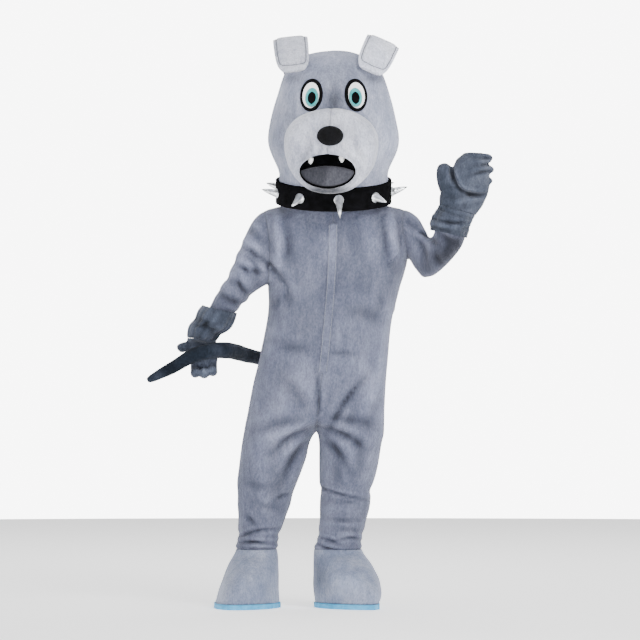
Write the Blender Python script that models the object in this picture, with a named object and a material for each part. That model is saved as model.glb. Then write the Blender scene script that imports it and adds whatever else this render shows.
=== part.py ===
"""Dog mascot costume: plush jumpsuit, gloves, shoes, tail, collar and dog head, in the pose it is worn in.

Metres, +Z up. The costume faces -Y. The origin lies between the wearer's shoulders.
Right and left are the wearer's: the right side lies at -X.
"""
import math

import bpy
import bmesh
import numpy as np
from mathutils.bvhtree import BVHTree

# Driving sizes
FLOOR = -1.407
WALL = 0.003
SEAM = 0.0003
LAID_ON = 0.0005
MERGE = 0.0002
PANEL_COLUMNS = 7
HEAD_COLUMNS = 32
RIGHT = -1
LEFT = 1

# Torso: height above the floor, centre line, half widths to the side seams, depth in front and behind
TORSO = (
    # height, centre, right, left, front, back
    (0.600, -0.0665, 0.259, 0.2415, 0.150, 0.160),
    (0.690, -0.0590, 0.249, 0.2350, 0.158, 0.172),
    (0.750, -0.0530, 0.243, 0.2320, 0.162, 0.176),
    (0.820, -0.0440, 0.236, 0.2260, 0.166, 0.170),
    (0.890, -0.0350, 0.224, 0.2240, 0.168, 0.150),
    (0.960, -0.0290, 0.217, 0.2250, 0.166, 0.134),
    (1.030, -0.0220, 0.213, 0.2270, 0.162, 0.130),
    (1.100, -0.0160, 0.213, 0.2350, 0.157, 0.136),
    (1.170, -0.0120, 0.221, 0.2480, 0.150, 0.140),
    (1.250, -0.0090, 0.230, 0.2500, 0.142, 0.138),
    (1.340, -0.0070, 0.235, 0.2450, 0.127, 0.126),
    (1.395, -0.0060, 0.240, 0.2450, 0.108, 0.108),
)
ARMHOLE_ROWS = 8
CENTRE_HEIGHTS = (1.395, 1.367, 1.339, 1.311, 1.283, 1.255, 1.227, 1.199, 1.171, 1.100, 1.030, 0.960,
                  0.890, 0.820, 0.750, 0.690)
BACK_NECK_RISE = 0.030
CROTCH = 0.6125
CROTCH_ROWS = 5
SIDE_AT_CROTCH = 0.600

# Neckline of the suit, under the collar
NECK_HALF_WIDTH = 0.112
NECK_FRONT = 0.108
NECK_BACK = 0.098
NECK_POINT_HEIGHT = 1.440
NECK_COLUMNS = 3

# Armholes: top and bottom point, half depth, and how far the middle is hollowed towards the chest
ARMHOLES = {
    # side: top x, top height, bottom x, bottom height, half depth, hollow
    RIGHT: (-0.2480, 1.3895, -0.2345, 1.1235, 0.092, 0.010),
    LEFT: (0.2400, 1.3935, 0.2560, 1.2215, 0.084, 0.008),
}

# Legs: height, inseam, side seam, depth in front and behind, and the puff of a fold there
LEGS = {
    RIGHT: (
        # height, inseam, side, front, back, puff
        (0.575, -0.0880, -0.3300, 0.146, 0.155, 0.000),
        (0.530, -0.0940, -0.3360, 0.137, 0.143, 0.000),
        (0.480, -0.1120, -0.3420, 0.125, 0.130, 0.000),
        (0.430, -0.1310, -0.3465, 0.112, 0.117, 0.001),
        (0.395, -0.1420, -0.3450, 0.102, 0.105, -0.003),
        (0.360, -0.1520, -0.3430, 0.098, 0.102, 0.002),
        (0.325, -0.1640, -0.3430, 0.093, 0.098, -0.002),
        (0.290, -0.1780, -0.3430, 0.088, 0.093, 0.001),
        (0.268, -0.1870, -0.3430, 0.085, 0.090, 0.004),
        (0.254, -0.1910, -0.3430, 0.083, 0.088, -0.006),
        (0.240, -0.1930, -0.3450, 0.083, 0.088, 0.005),
        (0.228, -0.1950, -0.3480, 0.083, 0.088, -0.004),
        (0.216, -0.1960, -0.3500, 0.084, 0.089, 0.005),
        (0.203, -0.1980, -0.3510, 0.084, 0.089, -0.003),
    ),
    LEFT: (
        # height, inseam, side, front, back, puff
        (0.575, -0.0595, 0.1670, 0.145, 0.154, 0.000),
        (0.530, -0.0595, 0.1610, 0.135, 0.142, 0.000),
        (0.480, -0.0590, 0.1500, 0.122, 0.128, 0.001),
        (0.430, -0.0575, 0.1330, 0.110, 0.115, 0.004),
        (0.408, -0.0570, 0.1300, 0.102, 0.106, -0.006),
        (0.385, -0.0565, 0.1295, 0.099, 0.103, 0.003),
        (0.335, -0.0590, 0.1260, 0.094, 0.098, -0.001),
        (0.300, -0.0595, 0.1150, 0.089, 0.093, -0.003),
        (0.272, -0.0595, 0.1070, 0.086, 0.090, 0.003),
        (0.254, -0.0610, 0.1020, 0.084, 0.088, -0.004),
        (0.240, -0.0650, 0.0990, 0.083, 0.088, 0.004),
        (0.228, -0.0690, 0.0985, 0.083, 0.088, -0.005),
        (0.216, -0.0740, 0.0980, 0.084, 0.089, 0.004),
        (0.203, -0.0780, 0.0980, 0.084, 0.089, -0.002),
    ),
}

# Sleeves: the two ends of each ring in the front view, its depth place and half depth, and a crease's puff
SLEEVES = {
    RIGHT: (
        # upper x, upper height, lower x, lower height, y, half depth, puff
        (-0.2835, 1.3685, -0.2470, 1.1220, -0.001, 0.091, 0.000),
        (-0.3115, 1.3125, -0.2640, 1.1120, -0.003, 0.089, 0.003),
        (-0.3360, 1.2565, -0.2815, 1.0980, -0.005, 0.085, -0.004),
        (-0.3535, 1.2040, -0.2990, 1.0810, -0.008, 0.080, 0.003),
        (-0.3745, 1.1585, -0.3180, 1.0620, -0.012, 0.074, -0.003),
        (-0.3990, 1.1200, -0.3400, 1.0390, -0.016, 0.066, 0.002),
        (-0.4260, 1.0720, -0.3690, 1.0150, -0.018, 0.059, 0.000),
        (-0.4450, 1.0350, -0.3890, 0.9990, -0.018, 0.054, 0.000),
    ),
    LEFT: (
        # upper x, upper height, lower x, lower height, y, half depth, puff
        (0.2600, 1.3880, 0.2660, 1.2080, -0.008, 0.083, 0.000),
        (0.2890, 1.3640, 0.2730, 1.1890, -0.026, 0.081, 0.003),
        (0.3130, 1.3330, 0.2860, 1.1670, -0.050, 0.079, -0.003),
        (0.3240, 1.3080, 0.3050, 1.1490, -0.080, 0.076, 0.003),
        (0.3300, 1.2960, 0.3370, 1.1480, -0.108, 0.074, 0.000),
        (0.3350, 1.2950, 0.3710, 1.1740, -0.132, 0.071, 0.000),
        (0.3400, 1.3010, 0.4060, 1.2100, -0.152, 0.069, 0.000),
        (0.3460, 1.3130, 0.4330, 1.2450, -0.171, 0.064, 0.000),
        (0.3500, 1.3270, 0.4475, 1.2750, -0.182, 0.062, 0.000),
        (0.3480, 1.3440, 0.4550, 1.3110, -0.187, 0.0625, 0.000),
    ),
}
SLEEVE_COLUMNS = 2 * ARMHOLE_ROWS

# Glove cuffs: the same columns with a gather's wave; the first ring is the open edge over the sleeve
CUFF_WAVES = 6
CUFF_COLUMNS = 24
CUFFS = {
    RIGHT: (
        # upper x, upper height, lower x, lower height, y, half depth, wave
        (-0.4620, 1.0540, -0.3430, 1.0290, -0.018, 0.069, 0.0020),
        (-0.4865, 1.0185, -0.3520, 0.9990, -0.016, 0.073, 0.0040),
        (-0.5050, 0.9850, -0.3710, 0.9740, -0.012, 0.069, 0.0045),
        (-0.5160, 0.9600, -0.3980, 0.9520, -0.006, 0.058, 0.0030),
        (-0.5180, 0.9430, -0.4165, 0.9350, 0.000, 0.050, 0.0000),
    ),
    LEFT: (
        # upper x, upper height, lower x, lower height, y, half depth, wave
        (0.3300, 1.3170, 0.4570, 1.2900, -0.181, 0.073, 0.0020),
        (0.3310, 1.3450, 0.4640, 1.3160, -0.189, 0.073, 0.0040),
        (0.3380, 1.3680, 0.4690, 1.3370, -0.191, 0.069, 0.0045),
        (0.3550, 1.3890, 0.4780, 1.3550, -0.192, 0.060, 0.0030),
        (0.3605, 1.4035, 0.4865, 1.3680, -0.192, 0.056, 0.0000),
    ),
}
# Hand of a glove: sections of the palm, then the thumb and three fingers
PALMS = {
    RIGHT: (
        # upper x, upper height, lower x, lower height, y, half depth
        (-0.5180, 0.9427, -0.4165, 0.9347, 0.0003, 0.050),
        (-0.5190, 0.9150, -0.4150, 0.9110, 0.024, 0.046),
        (-0.5145, 0.8830, -0.4095, 0.8820, 0.042, 0.040),
        (-0.5040, 0.8600, -0.4130, 0.8590, 0.045, 0.034),
        (-0.4900, 0.8400, -0.4270, 0.8390, 0.041, 0.024),
    ),
    LEFT: (
        # upper x, upper height, lower x, lower height, y, half depth
        (0.3605, 1.4038, 0.4865, 1.3683, -0.1922, 0.056),
        (0.3610, 1.4300, 0.5110, 1.4000, -0.188, 0.050),
        (0.3680, 1.4560, 0.5270, 1.4350, -0.186, 0.046),
        (0.3950, 1.4830, 0.5350, 1.4690, -0.196, 0.053),
        (0.4030, 1.5250, 0.5360, 1.5130, -0.202, 0.056),
        (0.4200, 1.5620, 0.5290, 1.5560, -0.198, 0.050),
        (0.4480, 1.5850, 0.5110, 1.5840, -0.194, 0.032),
    ),
}
FINGERS = {
    RIGHT: (
        # name, radius, start, bend, tip
        ("thumb", 0.0175, (-0.4920, 0.018, 0.9080), (-0.5300, 0.004, 0.9180), (-0.5480, -0.008, 0.8990)),
        ("index", 0.0170, (-0.4880, 0.042, 0.8640), (-0.4900, 0.006, 0.7940), (-0.4880, -0.050, 0.8320)),
        ("middle", 0.0175, (-0.4580, 0.042, 0.8620), (-0.4580, 0.004, 0.7860), (-0.4570, -0.048, 0.8340)),
        ("little", 0.0165, (-0.4300, 0.042, 0.8660), (-0.4280, 0.006, 0.7980), (-0.4290, -0.042, 0.8400)),
    ),
    LEFT: (
        # name, radius, start, bend, tip
        ("thumb", 0.0300, (0.3960, -0.192, 1.4500), (0.3720, -0.206, 1.4850), (0.3790, -0.208, 1.5320)),
        ("index", 0.0190, (0.4900, -0.198, 1.5600), (0.5280, -0.196, 1.5690), (0.5370, -0.190, 1.5540)),
        ("middle", 0.0195, (0.5000, -0.202, 1.5200), (0.5340, -0.200, 1.5300), (0.5390, -0.194, 1.5140)),
        ("little", 0.0190, (0.4950, -0.198, 1.4800), (0.5280, -0.196, 1.4910), (0.5350, -0.190, 1.4760)),
    ),
}
FINGER_SIDES = 6

# Shoes: rings of the plush cover from the leg's hem down to the sole
SHOES = {
    RIGHT: (
        # height, centre x, half width, front, back
        (0.180, -0.2770, 0.082, 0.098, 0.094),
        (0.155, -0.2840, 0.090, 0.142, 0.100),
        (0.122, -0.2900, 0.097, 0.188, 0.104),
        (0.085, -0.2970, 0.104, 0.218, 0.106),
        (0.048, -0.3020, 0.111, 0.232, 0.106),
        (0.0185, -0.3050, 0.116, 0.234, 0.104),
    ),
    LEFT: (
        # height, centre x, half width, front, back
        (0.180, 0.0160, 0.094, 0.098, 0.094),
        (0.155, 0.0250, 0.104, 0.142, 0.100),
        (0.122, 0.0340, 0.113, 0.184, 0.104),
        (0.085, 0.0390, 0.121, 0.212, 0.106),
        (0.048, 0.0400, 0.121, 0.224, 0.104),
        (0.0185, 0.0370, 0.112, 0.222, 0.100),
    ),
}
TOE_OUT = {RIGHT: -0.050, LEFT: 0.110}
SOLE_THICKNESS = 0.018
SOLE_EDGE = 0.005

# Tail: stuffed tube from the seat, round the hip to the hand
TAIL_SIDES = 12
TAIL = (
    # x, y, height, radius
    (-0.0910, 0.1980, 0.8220, 0.0230),
    (-0.1040, 0.2200, 0.8260, 0.0230),
    (-0.1350, 0.2400, 0.8350, 0.0235),
    (-0.1900, 0.2400, 0.8500, 0.0240),
    (-0.2500, 0.2050, 0.8660, 0.0250),
    (-0.3050, 0.1380, 0.8800, 0.0270),
    (-0.3430, 0.0740, 0.8910, 0.0290),
    (-0.3710, 0.0080, 0.8980, 0.0300),
    (-0.4000, -0.0420, 0.8990, 0.0300),
    (-0.4400, -0.0690, 0.8970, 0.0295),
    (-0.4800, -0.0770, 0.8860, 0.0280),
    (-0.5250, -0.0770, 0.8650, 0.0250),
    (-0.5700, -0.0700, 0.8370, 0.0220),
    (-0.6150, -0.0660, 0.8120, 0.0180),
    (-0.6430, -0.0640, 0.7990, 0.0145),
    (-0.6550, -0.0630, 0.7940, 0.0080),
)
TAIL_ROW = 13
TAIL_COLUMN = 1
TAIL_CLEAR = 0.0010

# Collar: a padded band round the neck, its front lower than its back
COLLAR_COLUMNS = 36
COLLAR_HALF_WIDTH = 0.204
COLLAR_HALF_DEPTH = 0.188
COLLAR_THICKNESS = 0.009
COLLAR_HALF_HEIGHT = 0.040
COLLAR_HEIGHT = 1.4560
COLLAR_TILT = 0.190
COLLAR_X = -0.005

# Spikes: turned soft cones on the band
SPIKES = 9
SPIKE_FIRST = 5.0
SPIKE_STEP = 40.0
SPIKE_LENGTH = 0.086
SPIKE_RADIUS = 0.0185
SPIKE_SIDES = 10
SPIKE_DROOP_FRONT = -52.0
SPIKE_DROOP_SIDE = 18.0

# Head: height, half width, depth in front, depth behind
HEAD_X = -0.005
HEAD = (
    # height, half width, front, back
    (1.410, 0.1942, 0.1765, 0.1772),
    (1.470, 0.1942, 0.1765, 0.1772),
    (1.500, 0.1930, 0.1765, 0.1765),
    (1.525, 0.1900, 0.1790, 0.1760),
    (1.550, 0.2030, 0.1900, 0.1900),
    (1.580, 0.2180, 0.1980, 0.2020),
    (1.610, 0.2300, 0.2030, 0.2110),
    (1.640, 0.2330, 0.2050, 0.2150),
    (1.680, 0.2270, 0.2040, 0.2170),
    (1.720, 0.2190, 0.2010, 0.2170),
    (1.760, 0.2080, 0.1970, 0.2150),
    (1.800, 0.1960, 0.1900, 0.2090),
    (1.840, 0.1850, 0.1770, 0.1980),
    (1.875, 0.1700, 0.1590, 0.1800),
    (1.905, 0.1480, 0.1360, 0.1550),
    (1.930, 0.1080, 0.0990, 0.1140),
    (1.943, 0.0600, 0.0550, 0.0630),
)
HEAD_ROWS = (1.4127, 1.488, 1.518, 1.545, 1.580, 1.617, 1.655, 1.695, 1.735, 1.775, 1.815, 1.850, 1.880,
             1.905)
CROWN_ROWS = (1.905, 1.928, 1.943)
CROWN_TOP = 1.9495
TILT_ENDS = 1.600
FACE_COLUMNS = 8

# Muzzle: an oval on the face, pushed forward, round the open mouth
MUZZLE_FIRST_ROW = 2
MUZZLE_LAST_ROW = 8
MUZZLE_COLUMNS = 4
MUZZLE_CENTRE = (-0.0140, 1.6220)
MUZZLE_HALF = (0.1620, 0.1100)
MUZZLE_FRONT = -0.312
MUZZLE_SECTIONS = (
    # towards the mouth, forward, drop of the jowls
    (0.00, 0.00, 0.000),
    (-0.05, 0.30, 0.008),
    (-0.03, 0.60, 0.022),
    (0.10, 0.83, 0.034),
    (0.36, 0.96, 0.035),
    (0.70, 1.00, 0.022),
    (1.00, 0.93, 0.000),
)
JOWL_SQUARE = 0.75
MOUTH_CENTRE = (-0.0270, 1.5170)
MOUTH_HALF = (0.0980, 0.0590)
MOUTH_SECTIONS = (
    # scale of the mouth, how far back, how far up
    (1.00, 0.000, 0.000),
    (0.98, 0.020, 0.009),
    (0.90, 0.048, 0.016),
    (0.50, 0.072, 0.018),
)
TONGUE_TOP = 1.5370
TONGUE_ARCH = 2.0
TONGUE_CLEAR = 0.0017
TONGUE_FRONT = 0.012

# Small pieces on the face
NOSE_CENTRE = (-0.0175, 1.6420)
NOSE_HALF = (0.0470, 0.0350)
NOSE_HEIGHT = 0.034
EYES_APART = 0.0815
EYE_HEIGHT = 1.7860
PIECES_OF_AN_EYE = (
    # name, half width, half height, start, thickness, towards the nose, lower, sides, rings
    ("eye_rim", 0.0430, 0.0600, 0.0009, 0.0040, 0.000, 0.000, 16, 2),
    ("eye_white", 0.0350, 0.0510, 0.0056, 0.0040, 0.000, 0.001, 16, 2),
    ("iris", 0.0250, 0.0350, 0.0106, 0.0025, 0.006, 0.010, 12, 2),
    ("pupil", 0.0155, 0.0220, 0.0138, 0.0020, 0.007, 0.012, 10, 1),
)
FANGS = (-0.0850, 0.0230)
FANG_LENGTH = 0.027
FANG_RADIUS = 0.0110

# Ears: padded flaps that rise from the head and fold forward
EAR_THICKNESS = 0.016
EAR_SIDES = 16
EAR_CLEAR = 0.0017
EAR_SECTIONS = (
    # y, height over the ear's place, half width
    (0.034, -0.0200, 0.044),
    (0.034, 0.0350, 0.052),
    (0.026, 0.0560, 0.057),
    (0.000, 0.0670, 0.060),
    (-0.040, 0.0630, 0.061),
    (-0.080, 0.0360, 0.061),
    (-0.116, 0.0000, 0.060),
    (-0.146, -0.0380, 0.055),
    (-0.158, -0.0560, 0.038),
)
EARS = {
    # side: x, height, turn about the front axis in degrees
    RIGHT: (-0.1500, 1.9250, 6.0),
    LEFT: (0.1430, 1.9200, 24.0),
}

# Front placket over the zip
PLACKET_HALF_WIDTH = 0.016
PLACKET_ROWS = (2, 13)
PLACKET_THICKNESS = 0.002

NAMES = {RIGHT: "right", LEFT: "left"}


# Materials
def material(name, colour, roughness, metallic=0.0):
    made = bpy.data.materials.get(name)
    if made is None:
        made = bpy.data.materials.new(name)
        made.use_nodes = True
        shader = made.node_tree.nodes["Principled BSDF"]
        shader.inputs["Base Color"].default_value = (*colour, 1.0)
        shader.inputs["Roughness"].default_value = roughness
        shader.inputs["Metallic"].default_value = metallic
        made.diffuse_color = (*colour, 1.0)
    return made


def grey_plush():
    return material("grey_plush", (0.31, 0.33, 0.40), 0.95)


def pale_plush():
    return material("pale_plush", (0.55, 0.56, 0.64), 0.95)


def dark_plush():
    return material("dark_plush", (0.10, 0.12, 0.17), 0.95)


def black_cloth():
    return material("black_cloth", (0.01, 0.01, 0.012), 0.9)


def white_felt():
    return material("white_felt", (0.85, 0.85, 0.85), 0.7)


def teal_felt():
    return material("teal_felt", (0.07, 0.36, 0.34), 0.6)


def silver_cloth():
    return material("silver_cloth", (0.62, 0.63, 0.65), 0.35, 0.8)


def sole_foam():
    return material("sole_foam", (0.20, 0.47, 0.66), 0.7)


# Small helpers
def smooth_value(table, column, height):
    """The value of one column of a table at a height, on a smooth curve through its rows."""
    rows = sorted(table, key=lambda row: row[0])
    heights = np.array([row[0] for row in rows])
    values = np.array([row[column] for row in rows])
    slopes = np.gradient(values, heights)
    at = min(max(height, heights[0]), heights[-1])
    low = int(np.clip(np.searchsorted(heights, at) - 1, 0, len(rows) - 2))
    span = heights[low + 1] - heights[low]
    t = (at - heights[low]) / span
    start = values[low] * (2 * t**3 - 3 * t**2 + 1) + slopes[low] * span * (t**3 - 2 * t**2 + t)
    end = values[low + 1] * (3 * t**2 - 2 * t**3) + slopes[low + 1] * span * (t**3 - t**2)
    return float(start + end)


def unit(vectors):
    vectors = np.asarray(vectors, dtype=float)
    length = np.linalg.norm(vectors, axis=-1, keepdims=True)
    return vectors / np.where(length > 1e-12, length, 1.0)


def grid_normals(points, closed):
    """Normals of a grid of points, rows by columns, on the side that (along columns) x (along rows) faces."""
    if closed:
        along = np.roll(points, -1, axis=1) - np.roll(points, 1, axis=1)
    else:
        along = np.gradient(points, axis=1)
    down = np.gradient(points, axis=0)
    return unit(np.cross(along, down))


def new_object(name, points, faces, made_of):
    """A mesh object from points and faces, in the costume's collection, shaded smooth between panels."""
    mesh = bpy.data.meshes.new(name)
    mesh.from_pydata([tuple(point) for point in points], [], faces)
    mesh.validate()
    shape = bmesh.new()
    shape.from_mesh(mesh)
    bmesh.ops.triangulate(shape, faces=shape.faces, quad_method="BEAUTY")
    bmesh.ops.recalc_face_normals(shape, faces=shape.faces)
    if shape.calc_volume(signed=True) < 0:
        bmesh.ops.reverse_faces(shape, faces=shape.faces)
    shape.to_mesh(mesh)
    shape.free()
    mesh.shade_smooth()
    mesh.set_sharp_from_angle(angle=math.radians(50))
    made = bpy.data.objects.new(name, mesh)
    made.data.materials.append(made_of)
    COSTUME.objects.link(made)
    return made


def wall(name, outer, normals, faces, made_of, thickness=WALL):
    """A closed wall: a sheet of outer points, the same sheet moved in along the normals, and its edges."""
    count = len(outer)
    inner = outer - normals * thickness
    closed_faces = [tuple(face) for face in faces]
    closed_faces += [tuple(count + corner for corner in reversed(face)) for face in faces]
    directed = set()
    for face in faces:
        for here, there in zip(face, tuple(face[1:]) + (face[0],)):
            directed.add((here, there))
    for here, there in sorted(directed):
        if (there, here) not in directed:
            closed_faces.append((there, here, count + here, count + there))
    return new_object(name, np.vstack([outer, inner]), closed_faces, made_of)


def grid_faces(rows, columns, closed, left_out=()):
    """Quads of a grid, by the numbers of its points, without the cells that are left out."""
    across = columns if closed else columns - 1
    faces = []
    for row in range(rows - 1):
        for column in range(across):
            if (row, column) in left_out:
                continue
            right = (column + 1) % columns
            faces.append((row * columns + column, row * columns + right,
                          (row + 1) * columns + right, (row + 1) * columns + column))
    return faces


def level_with(ring, normals):
    """Normals of a flat ring turned into its own plane, so that its edge is square to the tube."""
    centre = ring.mean(axis=0)
    through = unit(np.cross(ring[0] - centre, ring[len(ring) // 4] - centre))
    return unit(normals - np.outer(normals @ through, through))


def pull_in(points, edges):
    """Points of a grid with the named edges moved in by half a seam's gap."""
    moved = points.copy()
    half = SEAM / 2
    if "first_column" in edges:
        moved[:, 0] += unit(points[:, 1] - points[:, 0]) * half
    if "last_column" in edges:
        moved[:, -1] += unit(points[:, -2] - points[:, -1]) * half
    if "first_row" in edges:
        moved[0] += unit(points[1] - points[0]) * half
    if "last_row" in edges:
        moved[-1] += unit(points[-2] - points[-1]) * half
    return moved


def grid_wall(name, points, normals, made_of, edges=(), closed=False, left_out=(), thickness=WALL):
    rows, columns = points.shape[:2]
    outer = pull_in(points, edges).reshape(-1, 3)
    faces = grid_faces(rows, columns, closed, left_out)
    used = sorted({corner for face in faces for corner in face})
    number = {old: new for new, old in enumerate(used)}
    faces = [tuple(number[corner] for corner in face) for face in faces]
    return wall(name, outer[used], normals.reshape(-1, 3)[used], faces, made_of, thickness)


def tube_rings(sections, columns, top):
    """Round rings along a path: sections of x, y, height and radius.

    top is the direction of the first point of the first ring; it is carried along without twisting.
    """
    centres = np.array([(s[0], s[1], s[2] + FLOOR) for s in sections])
    tangents = unit(np.gradient(centres, axis=0))
    first = np.array(top, dtype=float)
    rings = []
    for number, section in enumerate(sections):
        tangent = tangents[number]
        first = unit(first - tangent * float(np.dot(first, tangent)))
        second = np.cross(tangent, first)
        angles = [2 * math.pi * column / columns for column in range(columns)]
        rings.append([centres[number] + (first * math.cos(angle) + second * math.sin(angle)) * section[3]
                      for angle in angles])
    return np.array(rings)


def limb_rings(sections, columns, thinner=0.0, waves=0):
    """Rings of a limb: each spans from its upper to its lower point in the front view, and its depth in y.

    Angle 0 is the upper point and 90 degrees the front.
    """
    rings = []
    for section in sections:
        upper = np.array((section[0], section[4], section[1] + FLOOR))
        lower = np.array((section[2], section[4], section[3] + FLOOR))
        extra = section[6] if len(section) > 6 else 0.0
        half = max(np.linalg.norm(upper - lower) / 2 - thinner, 0.005)
        deep = max(section[5] - thinner, 0.004)
        first = unit(upper - lower)
        ring = []
        for column in range(columns):
            angle = 2 * math.pi * column / columns
            swell = extra * (math.cos(waves * angle) if waves else 1.0)
            ring.append((upper + lower) / 2 + first * (half + swell) * math.cos(angle)
                        + np.array((0.0, -(deep + swell) * math.sin(angle), 0.0)))
        rings.append(ring)
    return np.array(rings)


def solid_tube(name, rings, made_of, flat=False):
    """A closed solid through rings of points; the ends of a flat one are strips from side to side."""
    rows, columns = rings.shape[:2]
    faces = grid_faces(rows, columns, True)
    for start in (0, (rows - 1) * columns):
        end = []
        if flat:
            half = columns // 2
            for place in range(half):
                strip = (place, place + 1, columns - place - 1, (columns - place) % columns)
                end.append(tuple(start + corner for corner in dict.fromkeys(strip)))
        else:
            end.append(tuple(start + column for column in range(columns)))
        faces += end if start == 0 else [tuple(reversed(face)) for face in end]
    return new_object(name, rings.reshape(-1, 3), faces, made_of)


def surface_of(objects):
    """A search tree over the faces of some objects."""
    points = []
    faces = []
    for item in objects:
        start = len(points)
        points += [vertex.co.copy() for vertex in item.data.vertices]
        faces += [tuple(start + corner for corner in polygon.vertices) for polygon in item.data.polygons]
    return BVHTree.FromPolygons(points, faces)


def seat(tree, point, direction):
    """Where a line from a point meets a surface."""
    hit = tree.ray_cast(tuple(point), tuple(direction))
    return np.array(hit[0]) if hit[0] is not None else np.array(point)


# Trunk and legs
def armhole(side, angle):
    """A point of the armhole; angle 0 is its top, 90 its front and 180 the armpit."""
    top_x, top_h, low_x, low_h, depth, hollow = ARMHOLES[side]
    turn = math.radians(angle)
    x = (top_x + low_x) / 2 + (top_x - low_x) / 2 * math.cos(turn) - side * hollow * math.sin(turn) ** 2
    h = (top_h + low_h) / 2 + (top_h - low_h) / 2 * math.cos(turn)
    return np.array((x, -depth * math.sin(turn), h + FLOOR))


def torso(column, height):
    return smooth_value(TORSO, column, height)


def neck_row(side, front):
    """The neckline from the centre to the shoulder seam, then the shoulder seam to the armhole."""
    centre = torso(1, CENTRE_HEIGHTS[0])
    low = CENTRE_HEIGHTS[0] if front else CENTRE_HEIGHTS[0] + BACK_NECK_RISE
    depth = -NECK_FRONT if front else NECK_BACK
    tip = armhole(side, 0)
    row = []
    for column in range(PANEL_COLUMNS + 1):
        if column <= NECK_COLUMNS:
            turn = math.pi / 2 * column / NECK_COLUMNS
            rise = 0.5 - 0.5 * math.cos(math.pi * column / NECK_COLUMNS)
            height = low + (NECK_POINT_HEIGHT - low) * rise
            row.append((centre + side * NECK_HALF_WIDTH * math.sin(turn), depth * math.cos(turn),
                        height + FLOOR))
        else:
            part = (column - NECK_COLUMNS) / (PANEL_COLUMNS - NECK_COLUMNS)
            point = np.array((centre + side * NECK_HALF_WIDTH, 0.0, NECK_POINT_HEIGHT + FLOOR))
            row.append(point + (tip - point) * part)
    return np.array(row)


def body_row(side, front, height, outer, wrap=90.0, inner_height=None, depth_height=None):
    """One row of a trunk panel from the centre seam to its outer end.

    wrap is 90 degrees on the torso and grows to 180 in the crotch, where the row closes round the leg.
    """
    centre = torso(1, height)
    depth = torso(4 if front else 5, depth_height or height)
    sign = -1.0 if front else 1.0
    inner_height = height if inner_height is None else inner_height
    width = abs(outer[0] - centre)
    half = width / (1 - math.cos(math.radians(wrap)))
    middle = outer[0] - side * half
    row = []
    for column in range(PANEL_COLUMNS + 1):
        part = column / PANEL_COLUMNS
        turn = math.radians(wrap) * (1 - part)
        reach = abs(outer[1])
        y = sign * (reach + (depth - reach) * math.sin(turn))
        h = inner_height + FLOOR + (outer[2] - inner_height - FLOOR) * part ** 1.4
        row.append((middle + side * half * math.cos(turn), y, h))
    return np.array(row)


def leg_row(side, front, section):
    height, inseam, seam, depth_front, depth_back, puff = section
    middle = (inseam + seam) / 2
    half = abs(seam - inseam) / 2 + puff
    depth = (-depth_front if front else depth_back) + (-puff if front else puff)
    row = []
    for column in range(PANEL_COLUMNS + 1):
        turn = math.pi * (1 - column / PANEL_COLUMNS)
        row.append((middle + side * half * math.cos(turn), depth * math.sin(turn), height + FLOOR))
    return np.array(row)


def trunk_half(side):
    """The front and back panel of one half as two grids, rows from the neck down to the ankle."""
    grids = {}
    side_column = 2 if side == RIGHT else 3
    armpit = armhole(side, 180)
    skew = armpit[2] - FLOOR - CENTRE_HEIGHTS[ARMHOLE_ROWS]
    for front in (True, False):
        rows = [neck_row(side, front)]
        for number in range(1, ARMHOLE_ROWS + 1):
            angle = 180 * number / ARMHOLE_ROWS
            height = CENTRE_HEIGHTS[number]
            if not front:
                height += BACK_NECK_RISE * (1 - number / ARMHOLE_ROWS)
            rows.append(body_row(side, front, height, armhole(side, angle)))
        for number in range(ARMHOLE_ROWS + 1, len(CENTRE_HEIGHTS)):
            height = CENTRE_HEIGHTS[number]
            fade = max(0.0, 1 - (number - ARMHOLE_ROWS) / 3)
            outer_height = height + skew * fade ** 1.3
            x = torso(1, height) + side * torso(side_column, height)
            x += (armpit[0] - x) * fade ** 3
            rows.append(body_row(side, front, height, np.array((x, 0.0, outer_height + FLOOR))))
        last = CENTRE_HEIGHTS[-1]
        for number in range(1, CROTCH_ROWS + 1):
            part = number / CROTCH_ROWS
            inner = CROTCH + (last - CROTCH) * (1 - math.sin(math.pi / 2 * part))
            outer = last + (SIDE_AT_CROTCH - last) * part
            x = torso(1, outer) + side * torso(side_column, outer)
            rows.append(body_row(side, front, inner, np.array((x, 0.0, outer + FLOOR)),
                                 90.0 + 90.0 * part, inner, outer))
        for section in LEGS[side]:
            rows.append(leg_row(side, front, section))
        grids[front] = np.array(rows)
    return grids


def trunk_normals(side, grids):
    """Outward normals of both panels of one half, shared where they meet."""
    front, back = grids[True], grids[False]
    ring = np.concatenate([front, back[:, -2::-1]], axis=1)
    seat_row = len(CENTRE_HEIGHTS) + CROTCH_ROWS - 1
    open_normals = grid_normals(ring, False)
    legs = ring[:, :-1]
    closed_normals = grid_normals(legs, True)
    normals = open_normals.copy()
    normals[seat_row + 1:, :-1] = closed_normals[seat_row + 1:]
    normals[seat_row + 1:, -1] = closed_normals[seat_row + 1:, 0]
    if side == LEFT:
        normals = -normals
    for column, sign in ((0, -1.0), (-1, 1.0)):
        run = np.gradient(ring[:seat_row + 1, column], axis=0)
        across = np.stack([np.zeros(seat_row + 1), run[:, 2], -run[:, 1]], axis=1)
        facing = np.where((across[:, 1] * sign - 0.4 * across[:, 2])[:, None] < 0, -across, across)
        normals[:seat_row + 1, column] = unit(facing)
    normals[seat_row, 0] = (0.0, 0.0, -1.0)
    normals[seat_row, -1] = (0.0, 0.0, -1.0)
    columns = PANEL_COLUMNS + 1
    split = {True: normals[:, :columns], False: normals[:, PANEL_COLUMNS:][:, ::-1]}
    top = unit(split[True][0] + split[False][0])
    for front_panel in (True, False):
        split[front_panel] = split[front_panel].copy()
        split[front_panel][0, NECK_COLUMNS:] = top[NECK_COLUMNS:]
    return split


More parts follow.
